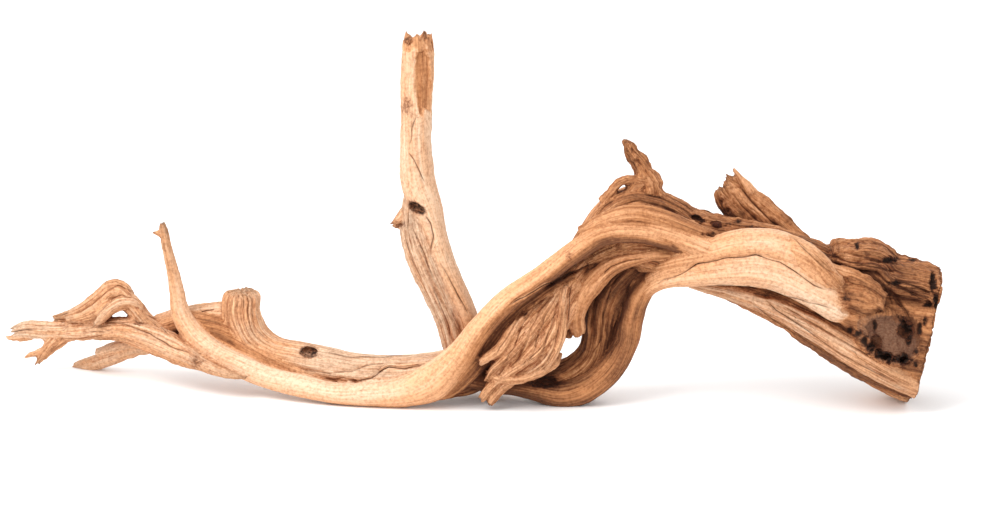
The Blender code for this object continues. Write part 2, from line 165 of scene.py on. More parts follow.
STRANDS = {
    # Heartwood of the trunk, from the sawn face up to the crest
    "trunk": Strand(13, 2.2, 14, [
        (384, 4, 48, 104, 96), (343, 4, 60, 101, 94), (302, 4, 75, 86, 88), (280, 4, 88, 80, 84),
        (262, 3, 100, 77, 80), (225, 2, 115, 72, 72), (191, 0, 127, 62, 66), (158, -2, 135, 59, 60),
        (130, -4, 140, 52, 54), (106, -6, 134, 37, 44), (88, -8, 124, 24, 30),
    ]),
    # Weathered top of the trunk above the saw cut, broken off square towards the plate
    "shoulder": Strand(9, 2.5, 10, [
        (287, 0, 120, 12, 36), (290, 0, 122, 27, 54), (303, 0, 120, 35, 66), (318, -1, 119, 36, 68),
        (331, -2, 109, 34, 70), (353, -2, 104, 33, 72), (384, -2, 95, 32, 70),
    ]),
    # Underside of the trunk, two strands that end at the saw cut
    "under": Strand(6, 1.6, 12, [
        (173, -10, 106, 12, 24), (203, -16, 101, 18, 28), (236, -22, 91, 22, 32), (270, -26, 75, 26, 34),
        (303, -28, 54, 27, 36), (336, -26, 33, 25, 36), (359, -22, 21, 22, 34), (372, -20, 14, 20, 32),
    ]),
    "keel": Strand(5, 1.6, 8, [
        (214, 0, 87, 10, 24), (250, 0, 71, 14, 34), (286, 4, 51, 17, 40), (323, 8, 24, 20, 44),
        (348, 12, 10, 20, 46), (374, 12, 5.5, 18, 44),
    ]),
    # Two pale bands on the front of the trunk, and the flake that lies over them
    "pale_top": Strand(4, 0.4, 6, [
        (132, -11, 116, 5, 7), (146, -18, 121, 11, 15), (162, -25, 127, 18, 22), (181, -30, 132, 22, 26),
        (207, -34, 140, 26, 28), (234, -37, 141, 27, 30), (258, -39, 133, 27, 30), (278, -40, 119, 20, 28),
        (290, -40, 109, 13, 20),
    ]),
    "pale_low": Strand(4, 0.4, 6, [
        (124, -3, 70, 8, 18), (131, -6, 88, 12, 20), (142, -11, 102, 14, 22), (156, -18, 110, 16, 24),
        (173, -26, 115, 20, 26), (199, -32, 119, 23, 28), (227, -36, 120, 25, 30), (254, -39, 111, 25, 30),
        (276, -40, 98, 23, 28), (288, -40, 90, 21, 26), (294, -38, 87, 17, 20),
    ]),
    "flake": Strand(4, 0.6, 0, [
        (248, -39, 147, 10, 16), (262, -44, 138, 17, 17), (275, -48, 126, 17, 14), (284, -50, 116, 11, 11),
        (291, -50, 109, 5, 7),
    ]),
    # The sawn stub of a side branch, long across, and the round boss where the pale bands end
    "stub": Strand(9, 1.2, 0, [
        (327, -14, 68, 62, 46), (327, -30, 68, 62, 44), (327, -42, 68, 60, 42), (327, -48, 68, 55, 37),
        (327, -50, 68, 46, 30),
    ], -32),
    "boss": Strand(5, 1.4, 10, [
        (282, -38, 105, 22, 26), (294, -40, 103, 27, 29), (305, -41, 101, 30, 30), (314, -41, 97, 27, 27),
        (320, -40, 94, 18, 19), (322, -39, 92, 9, 10),
    ]),
    "boss_fold": Strand(3, 0.8, 0, [
        (280, -37, 124, 8, 12), (291, -40, 120, 12, 14), (303, -42, 116, 13, 15), (314, -42, 109, 12, 14),
        (321, -40, 100, 10, 12), (321, -38, 90, 6, 8),
    ]),
    "boss_nub": Strand(4, 1.2, 30, [
        (287, -38, 94, 10, 14), (293, -40, 86, 16, 18), (302, -40, 82, 16, 18), (310, -38, 81, 9, 12),
    ]),
    # Pale wood that fills the crease between the two bands
    "band_fill": Strand(3, 0.2, 0, [
        (140, -12, 108, 10, 16), (156, -20, 117, 15, 22), (180, -29, 124, 18, 26), (207, -34, 129, 19, 28),
        (230, -37, 130, 20, 30), (256, -40, 122, 20, 30), (277, -41, 109, 19, 28), (288, -40, 101, 16, 26),
        (296, -38, 97, 10, 18),
    ]),
    # Pale wood where the rope and the bands of the trunk have grown together
    "saddle": Strand(3, 0.4, 6, [
        (100, -23, 152, 10, 16), (120, -24, 154, 14, 20), (140, -25, 152, 17, 24), (161, -28, 146, 18, 26),
        (182, -31, 138, 17, 26), (207, -34, 131, 12, 24),
    ]),
    "saddle_top": Strand(4, 0.5, 6, [
        (84, -19, 148, 9, 13), (102, -21, 157, 14, 18), (124, -23, 163, 17, 21), (146, -24, 160, 18, 23),
        (168, -24, 152, 16, 23), (192, -25, 143, 12, 20),
    ]),
    # Weathered crest over the arch, with its snag and the small bent nub beside it
    "crown": Strand(11, 2.6, 12, [
        (80, -12, 131, 12, 22), (93, -8, 147, 16, 34), (106, -4, 160, 22, 44), (125, 0, 168, 26, 50),
        (149, 4, 162, 28, 54), (175, 8, 149, 23, 56), (199, 10, 142, 22, 54), (223, 12, 129, 20, 48),
    ]),
    "snag": Strand(5, 1.4, 40, [
        (142, 0, 168, 27, 26), (140, -1, 183, 21, 20), (134, -2, 196, 16, 15), (127, -3, 207, 12, 12),
        (123, -3, 213, 11, 11), (122, -3, 218, 8, 8), (122, -3, 219.5, 4, 4),
    ]),
    "nub": Strand(3, 0.5, 0, [
        (103, -8, 169, 11, 13), (109, -9, 178, 9, 11), (116, -9, 185, 8, 9), (125, -8, 188, 8, 9),
        (135, -6, 186, 9, 11),
    ]),
    "nub_foot": Strand(3, 0.8, 0, [
        (136, -5, 186, 12, 12), (128, -6, 182, 14, 14), (123, -6, 175, 10, 12),
    ]),
    # The flat broken plate that stands up behind the trunk, and its one long tine
    "plate": Strand(7, 1.0, 0, [
        (268, 28, 114, 30, 28), (250, 30, 130, 34, 24), (233, 31, 145, 36, 19), (217, 32, 158, 34, 15),
        (206, 33, 171, 25, 12), (202, 33, 176, 16, 9),
    ]),
    "plate_tine": Strand(3, 0.3, 0, [
        (222, 31, 168, 13, 9), (216, 31, 178, 8, 7), (209, 31, 188, 3, 4),
    ]),
    "plate_lobe": Strand(3, 0.3, 0, [
        (222, 31, 143, 16, 16), (212, 31, 151, 17, 15), (203, 31, 160, 15, 13), (198, 31, 168, 11, 10),
        (197, 31, 172, 6, 6),
    ]),
    # The pale rope that leaves the crest, runs down and along the floor, and rises into a twig
    "ridge": Strand(5, 0.7, 25, [
        (186, -24, 129, 10, 20), (157, -27, 142, 15, 24), (132, -28, 149, 16, 24), (103, -27, 147, 17, 24),
        (77, -26, 131, 18, 25), (53, -24, 112, 18, 26), (25, -22, 91, 19, 26), (4, -19, 67, 20, 26),
        (-12, -16, 44, 25, 28), (-32, -13, 24, 32, 28), (-55, -11, 14, 26, 26), (-84, -7, 11, 21, 24),
        (-112, -2, 10, 18, 22), (-141, 6, 14, 19, 20), (-170, 16, 19, 19, 20), (-197, 28, 28, 19, 20),
        (-218, 38, 38, 18, 18), (-232, 46, 50, 18, 17), (-240, 50, 64, 16, 15), (-243, 52, 82, 13, 13),
        (-247, 53, 103, 11, 11), (-251, 54, 121, 9, 9), (-253, 54, 133, 8, 8), (-254, 54, 138, 5, 5),
    ]),
    "twig_nub": Strand(3, 0.2, 0, [
        (-251, 54, 126, 6, 6), (-257, 54, 129, 6, 6), (-262, 54, 130, 4, 4),
    ]),
    # Wood under the rope, whose red-brown tone is painted shade
    "ridge_under": Strand(5, 1.2, 25, [
        (81, -15, 111, 12, 18), (57, -14, 95, 18, 20), (32, -12, 75, 22, 22), (13, -10, 53, 22, 24),
        (-2, -8, 34, 21, 26), (-19, -6, 17, 18, 24), (-43, -6, 10, 11, 18), (-66, -7, 7, 6, 9),
    ]),
    # The recessed wood between the rope and the loop, whose dark tone is partly painted shade
    "web": Strand(9, 1.8, 10, [
        (95, 0, 119, 30, 28), (76, 2, 100, 42, 26), (54, 5, 78, 46, 26), (31, 5, 54, 40, 26),
        (11, 5, 34, 35, 28), (-6, 4, 19, 27, 28), (-27, 2, 13, 19, 24),
    ]),
    # The loop: a smooth outer strand and a fluted inner one, down from the crest and back along the floor
    "leg_outer": Strand(6, 0.9, 20, [
        (190, -8, 121, 16, 26), (166, -8, 119.5, 17, 28), (145, -6, 108, 18, 30), (132, -4, 90, 20, 30),
        (126, -2, 71, 20, 30), (123, -1, 54, 21, 30), (115, 0, 37, 22, 32), (101, 0, 22, 24, 34),
        (86, 1, 13, 26, 36), (70, 1, 10, 25, 36), (53, 2, 13, 22, 32), (33, 3, 17, 21, 30),
        (13, 2, 20, 22, 30), (-10, 0, 26, 22, 30),
    ]),
    "leg_inner": Strand(9, 2.0, 20, [
        (184, -4, 122, 8, 14), (166, 1, 124, 19, 26), (146, 6, 120, 27, 36), (124, 9, 108, 32, 36),
        (108, 12, 87, 36, 34), (103, 14, 68, 33, 32), (101, 14, 53, 28, 32), (96, 13, 38, 27, 32),
        (84, 12, 26, 28, 32), (68, 11, 19, 28, 34), (49, 9, 15, 22, 30),
    ]),
    # The tongue that hangs from the crest over the gap, and the splintered panel beside it
    "tongue": Strand(4, 0.7, 15, [
        (174, -24, 129, 6, 10), (154, -26, 132, 10, 14), (134, -27, 130, 11, 15), (111, -24, 122, 16, 16),
        (96, -20, 108, 19, 17), (86, -16, 92, 16, 17), (82, -13, 76, 14, 15), (83, -12, 66, 14, 13),
        (84, -11, 60, 11, 9),
    ]),
    "tongue_back": Strand(4, 0.7, 0, [
        (76, -6, 96, 14, 16), (74, -5, 82, 14, 14), (74, -5, 70, 14, 12), (75, -5, 61, 12, 10),
        (75, -5, 57, 7, 7),
    ]),
    "panel": Strand(9, 1.2, 0, [
        (91, -10, 120, 19, 20), (78, -14, 103, 26, 22), (65, -17, 85, 36, 22), (51, -19, 68, 44, 20),
        (38, -20, 52, 42, 20), (27, -20, 39, 30, 18), (18, -20, 27, 16, 14), (12, -19, 14, 8, 10),
    ]),
    "finger": Strand(3, 0.4, 0, [
        (62, -12, 98, 7, 10), (47, -20, 85, 10, 12), (31, -25, 69, 10, 13), (21, -26, 54, 10, 12),
        (12, -26, 47, 9, 11), (4, -26, 42, 7, 9),
    ]),
    "splinter_1": Strand(3, 0.5, 0, [
        (70, -19, 103, 10, 12), (57, -24, 83, 11, 12), (42, -26, 62, 10, 12), (27, -26, 46, 10, 12),
        (16, -25, 36, 8, 10), (10, -23, 27, 5, 7),
    ]),
    "splinter_2": Strand(3, 0.5, 0, [
        (74, -19, 100, 10, 12), (66, -24, 78, 11, 12), (55, -26, 57, 11, 12), (40, -26, 43, 10, 12),
        (27, -25, 34, 9, 10), (16, -23, 24, 9, 9), (9, -22, 16, 9, 8), (5, -21, 10, 7, 6),
    ]),
    "splinter_3": Strand(3, 0.5, 0, [
        (74, -20, 105, 11, 14), (70, -24, 83, 12, 13), (67, -25, 62, 12, 12), (58, -24, 44, 11, 12),
        (45, -23, 33, 9, 11), (30, -22, 26, 9, 10), (20, -21, 17, 9, 9), (14, -20, 9, 9, 8),
        (12, -20, 5, 6, 6),
    ]),
    "curl": Strand(4, 0.8, 30, [
        (68, -12, 46, 7, 12), (62, -18, 39, 9, 14), (49, -22, 32, 10, 15), (32, -24, 28, 10, 14),
        (18, -24, 30, 8, 11), (10, -23, 33, 5, 6),
    ]),
    # The upright branch behind the arch: a pale strand to the top and a weathered one beside its foot
    "upright_pale": Strand(5, 0.6, 20, [
        (1, 31, 41, 16, 24), (-5, 33, 65, 16, 26), (-14, 35, 86, 16, 26), (-24, 37, 109, 18, 26),
        (-31, 38, 132, 19, 28), (-38, 39, 154, 26, 30), (-45, 40, 176, 29, 30), (-47, 40, 202, 26, 28),
        (-46, 40, 234, 26, 27), (-45, 40, 267, 27, 27), (-45, 40, 286, 27, 26), (-45, 40, 296, 25, 24),
    ]),
    "upright_brown": Strand(10, 1.6, 8, [
        (38, 14, 15, 14, 20), (14, 22, 15, 23, 28), (-5, 29, 24, 27, 32), (-13, 33, 42, 28, 34),
        (-20, 36, 63, 25, 33), (-29, 38, 84, 27, 32), (-40, 39, 109, 29, 32), (-47, 40, 129, 27, 30),
        (-50, 40, 146, 22, 26), (-49, 40, 164, 15, 18),
    ]),
    "upright_bump": Strand(3, 0.4, 0, [
        (-35, 38, 98, 14, 18), (-40, 38, 91, 12, 14), (-44, 38, 87, 6, 7),
    ]),
    "upright_spur": Strand(3, 0.4, 0, [
        (-47, 40, 154, 20, 20), (-56, 40, 146, 16, 16), (-63, 40, 141, 10, 11), (-68, 40, 139, 4, 5),
    ]),
    # The long limb behind the rope, with its knob, and the back limb beyond it
    "limb": Strand(8, 1.6, 12, [
        (5, 10, 39, 24, 34), (-21, 10, 29, 28, 36), (-56, 10, 25, 28, 36), (-91, 14, 25, 29, 34),
        (-119, 22, 28, 29, 32), (-143, 31, 31, 27, 32), (-165, 40, 35, 24, 32), (-181, 46, 44, 30, 34),
        (-189, 52, 57, 33, 34), (-191, 55, 67, 32, 33), (-190, 56, 74.5, 32, 32), (-190, 56, 78.5, 30, 30),
        (-190, 56, 80.5, 21, 22), (-190, 56, 81, 12, 12),
    ]),
    "back_limb": Strand(6, 1.2, 10, [
        (-192, 60, 58, 24, 28), (-213, 66, 58, 21, 24), (-234, 70, 55, 19, 22), (-254, 72, 50, 18, 22),
        (-271, 72, 43, 16, 20),
    ]),
    # Dark wood at the back of the groove between the rope and the limb, its darkness partly painted shade
    "groove_back": Strand(5, 1.0, 10, [
        (-268, 66, 44, 8, 12), (-252, 64, 47, 18, 18), (-236, 61, 50, 24, 20), (-209, 51, 47, 25, 22),
        (-187, 42, 38, 29, 24), (-167, 34, 30, 27, 24), (-147, 26, 23, 23, 22), (-128, 19, 18, 17, 19),
        (-106, 14, 15, 10, 15),
    ]),
    # The twig end: the low body, its forked tip, the high hook with a tine, and the low back branch
    "body": Strand(7, 1.3, 20, [
        (-184, 8, 20, 3, 5), (-201, 14, 22, 9, 12), (-223, 26, 28, 15, 18), (-244, 40, 35, 24, 24),
        (-266, 52, 42, 25, 26), (-287, 62, 46, 22, 24), (-309, 72, 43, 20, 21), (-326, 80, 40, 19, 19),
        (-342, 86, 38, 18, 17), (-359, 92, 37, 17, 15), (-373, 96, 37, 15, 13), (-384, 98, 34, 9, 9),
    ]),
    "tip_tine": Strand(3, 0.3, 0, [
        (-368, 95, 32, 8, 8), (-378, 97, 30, 7, 7), (-386, 98, 29, 6, 6), (-391, 99, 30, 4, 4),
    ]),
    "fork": Strand(4, 0.8, 0, [
        (-337, 84, 38, 16, 14), (-349, 87, 28, 14, 12), (-358, 90, 17, 9, 9), (-365, 93, 7, 4, 5),
    ]),
    "fork_tine": Strand(3, 0.3, 0, [
        (-353, 89, 22, 8, 8), (-361, 90, 19, 7, 6), (-370, 91, 16, 5, 5), (-374, 92, 14, 3, 4),
    ]),
    "hook": Strand(7, 1.2, 10, [
        (-252, 56, 40, 15, 22), (-271, 62, 54, 15, 22), (-283, 67, 67, 19, 22), (-294, 71, 75, 25, 22),
        (-308, 75, 66, 21, 20), (-322, 79, 57, 16, 16), (-335, 83, 52, 11, 11), (-349, 87, 49, 5, 6),
    ]),
    "hook_tine": Strand(4, 0.8, 0, [
        (-272, 62, 63, 8, 12), (-280, 61, 69, 12, 14), (-289, 60, 69, 13, 14), (-298, 59, 64, 12, 12),
        (-306, 58, 56, 9, 11), (-313, 57, 50, 4, 6),
    ]),
    "hook_web": Strand(4, 0.8, 10, [
        (-336, 81, 49, 5, 8), (-322, 75, 53, 11, 12), (-308, 69, 60, 16, 14), (-297, 67, 67, 16, 15),
        (-286, 66, 68, 9, 12),
    ]),
    "low_branch": Strand(5, 1.0, 10, [
        (-260, 64, 31, 11, 16), (-281, 79, 24, 13, 16), (-302, 92, 14, 14, 16), (-318, 102, 6, 14, 14),
        (-329, 108, 2, 12, 12), (-335, 111, 0, 8, 9),
    ]),
    "low_strip": Strand(3, 0.5, 0, [
        (-264, 66, 35, 8, 12), (-282, 76, 30, 11, 13), (-300, 86, 23, 11, 12), (-313, 94, 17, 9, 10),
    ]),
}

HOLLOWS = {
    "limb_hole": Hollow((-134, 17.5, 39.2), (15, 14, 8.5), (0, 10, 0), 0.6),
    "upright_hole": Hollow((-46.5, 26, 157), (16, 16, 8), (0, 25, 0), 0.7),
    "head_chip": Hollow((-35, 32, 298), (16, 16, 9), (0, 15, 0), 0.25),
    "crest_hole_1": Hollow((178, -12, 157.5), (9.5, 9, 4.5), (0, 28, 0), 0.6),
    "crest_hole_2": Hollow((192, -12, 152), (5, 8, 3), (0, 30, 0), 0.45),
    "shoulder_hole": Hollow((329, -16, 125), (14, 9, 6), (0, 20, 0)),
    "stub_rot_1": Hollow((343, -48, 77), (13, 18, 16), (0, 20, 0)),
    "stub_rot_2": Hollow((318, -50, 66), (7, 8, 9), (0, 0, 0)),
    "stub_rot_3": Hollow((326, -50, 54), (9, 8, 7), (0, 0, 0)),
    "stub_rot_4": Hollow((340, -49, 51), (8, 8, 6), (0, 0, 0)),
    "panel_cavity": Hollow((57, -10, 22), (26, 20, 10), (0, 0, 0), 0.3),
}

FINISHES = {
    "trunk": Finish((1.1, 1.05, 1.05, 1.0, 0.9, 0.8), (0.4, 0.7, 1.0, 1.0), 6, 0.5, 0.9),
    "shoulder": Finish((0.9, 1.1, 1.05), 1.0, 6, 0.4, 1.2),
    "under": Finish((0.3, 0.35, 0.4), 0.65, 6, 0.8, 0.25),
    "keel": Finish((0.4, 0.35, 0.35), 0.6, 6, 0.8, 0.25),
    "pale_top": Finish((0.75, 0.66, 0.56, 0.46, 0.38, 0.34, 0.5), 0.2, 5, 1.0, 0.12),
    "pale_low": Finish((0.55, 0.48, 0.3, 0.16, 0.1, 0.1), 0.15, 5, 1.0, 0.1),
    "band_fill": Finish((0.6, 0.5, 0.34, 0.24, 0.18, 0.2, 0.3), 0.15, 5, 1.0, 0.1),
    "saddle": Finish((0.68, 0.68, 0.66, 0.58, 0.45), 0.35, 5, 1.0, 0.15),
    "saddle_top": Finish((0.8, 0.84, 0.9, 0.95, 0.9), 0.5, 4, 1.0, 0.2),
    "flake": Finish((0.5, 0.55, 0.6), 0.6, 4, 0.15, 0.5),
    "stub": Finish(1.0, 0.5, 6, 0.6, 0.7),
    "boss": Finish((0.55, 0.85, 0.95, 0.98), 0.65, 5, 0.6, 1.1),
    "boss_fold": Finish((0.75, 0.95, 1.0), 0.7, 4, 0.15, 0.8),
    "boss_nub": Finish(0.95, 0.6, 4, 0.3, 1.0),
    "crown": Finish((0.72, 0.84, 1.0, 1.2, 1.2), (0.6, 0.8, 1.0, 1.0), 4.5, 0.7, (0.3, 0.4, 0.8, 1.4)),
    "snag": Finish(0.95, 0.9, 4, 0.6, 1.7),
    "nub": Finish(0.8, 0.7, 4, 0.4, 1.2),
    "nub_foot": Finish(0.8, 0.8, 4, 0.4, 0.9),
    "plate": Finish((1.0, 0.9, 0.85), 0.7, 5, 0.4, 0.9),
    "plate_tine": Finish(0.65, 0.5, 4, 0.4, 0.4),
    "plate_lobe": Finish((0.95, 0.88), 0.8, 4, 0.4, 1.2),
    "ridge": Finish(
        (0.68, 0.7, 0.7, 0.64, 0.56, 0.5, 0.44, 0.36, 0.26, 0.16, 0.1, 0.12, 0.18, 0.3, 0.5, 0.5),
        (0.3, 0.26, 0.2, 0.16, 0.14, 0.12, 0.1, 0.1, 0.12, 0.14, 0.4, 0.8), 5,
        (0.9, 0.6, 0.6, 0.9, 0.9, 0.6), (0.1, 0.1, 0.1, 0.1, 0.1, 0.5)),
    "twig_nub": Finish(0.5, 0.4, 3, 0.3, 0.6),
    # The dark tone under the rope is painted shade, and that of the recess behind it partly so
    "ridge_under": Finish((1.1, 1.15, 1.0, 0.6), 0.6, 5, 0.4, 0.2),
    "web": Finish((1.0, 1.1, 1.0), 0.8, 5, 0.2, 0.4),
    "leg_outer": Finish((0.6, 0.84, 1.0, 1.0, 1.0, 1.08, 1.12, 1.12), (0.3, 0.4, 0.5), 5, 1.0, 0.15),
    "leg_inner": Finish((0.95, 1.05, 1.0, 0.95, 0.98), 0.8, 5, 0.8, 0.2),
    "tongue": Finish((0.8, 0.85, 0.75, 0.7), 0.45, 4, 0.7, 0.2),
    "tongue_back": Finish(0.75, 0.6, 4, 0.6, 0.5),
    "panel": Finish((0.62, 0.55, 0.58), 0.9, 4.5, 0.6, 0.35),
    "finger": Finish((1.0, 0.6, 0.52), 0.7, 4, 0.3, 0.6),
    "splinter_1": Finish((0.75, 0.56, 0.56), 0.8, 4, 0.8, 0.45),
    "splinter_2": Finish((0.6, 0.55, 0.6), 0.8, 4, 0.8, 0.45),
    "splinter_3": Finish((0.55, 0.52, 0.6), 0.8, 4, 0.8, 0.45),
    "curl": Finish((0.52, 0.56), 0.6, 4, 0.3, 0.7),
    "upright_pale": Finish((0.4, 0.32, 0.22, 0.16, 0.2, 0.32, 0.36), (0.2, 0.2, 0.3, 0.4), 5, 0.8, 0.35),
    "upright_brown": Finish((0.26, 0.12, 0.14), 0.8, 4.5, 0.7, (0.4, 0.5, 1.0)),
    "upright_bump": Finish(0.5, 0.8, 4, 0.5, 0.9),
    "upright_spur": Finish(0.6, 0.8, 4, 0.5, 0.9),
    "limb": Finish((0.26, 0.18, 0.18, 0.3, 0.45), (0.6, 0.6, 0.7), 5, (0.8, 0.8, 0.8, 0.5), 0.3),
    "back_limb": Finish((0.32, 0.3), 0.6, 5, 0.7, 0.5),
    # Darker in the groove, partly as painted shade
    "groove_back": Finish((0.6, 0.8, 0.85, 0.7, 0.5, 0.45), 0.6, 5, 0.8, 0.3),
    "body": Finish((0.38, 0.4, 0.46, 0.36, 0.02), (0.6, 0.8, 0.8, 0.5), 4.5, 0.7, (0.3, 0.5, 0.7, 0.7)),
    "tip_tine": Finish(0.45, 0.6, 3, 0.4, 0.6),
    "fork": Finish(0.5, 0.8, 4, 0.5, 0.7),
    "fork_tine": Finish(0.5, 0.6, 3, 0.4, 0.6),
    "hook": Finish((0.42, 0.5, 0.52), 0.75, 4.5, 0.6, (0.3, 0.5, 0.5)),
    "hook_tine": Finish(0.42, 0.8, 4, 0.6, 0.4),
    "hook_web": Finish(0.5, 0.8, 4, 0.7, 0.4),
    "low_branch": Finish(0.3, 0.45, 4, 0.3, 0.7),
    "low_strip": Finish(0.3, 0.45, 4, 0.2, 0.7),
}

# Rows of close ridges: how many go round, their depth in mm, and the share of the strand where they start
COMBS = {
    "limb": (20, 2.6, 0.7), "leg_inner": (22, 0.7, 0.0), "hook": (15, 0.8, 0.2), "panel": (26, 0.8, 0.1),
    "splinter_1": (8, 0.7, 0.1), "splinter_2": (8, 0.7, 0.1), "splinter_3": (8, 0.7, 0.1),
    "curl": (8, 0.5, 0.1),
}

# Free ends that are frayed, and by how many mm their fibres end short of each other
FRAYED = {
    "upright_pale": 5, "upright_spur": 3, "body": 4, "tip_tine": 2, "fork": 3, "fork_tine": 2,
    "hook": 3, "hook_tine": 2.5, "low_branch": 4, "low_strip": 3, "plate": 6, "plate_tine": 2, "tongue": 2,
    "finger": 2, "splinter_1": 2, "splinter_2": 1.5, "splinter_3": 1.5, "curl": 3, "ridge": 1.5,
    "twig_nub": 2, "upright_bump": 2, "plate_lobe": 2,
}

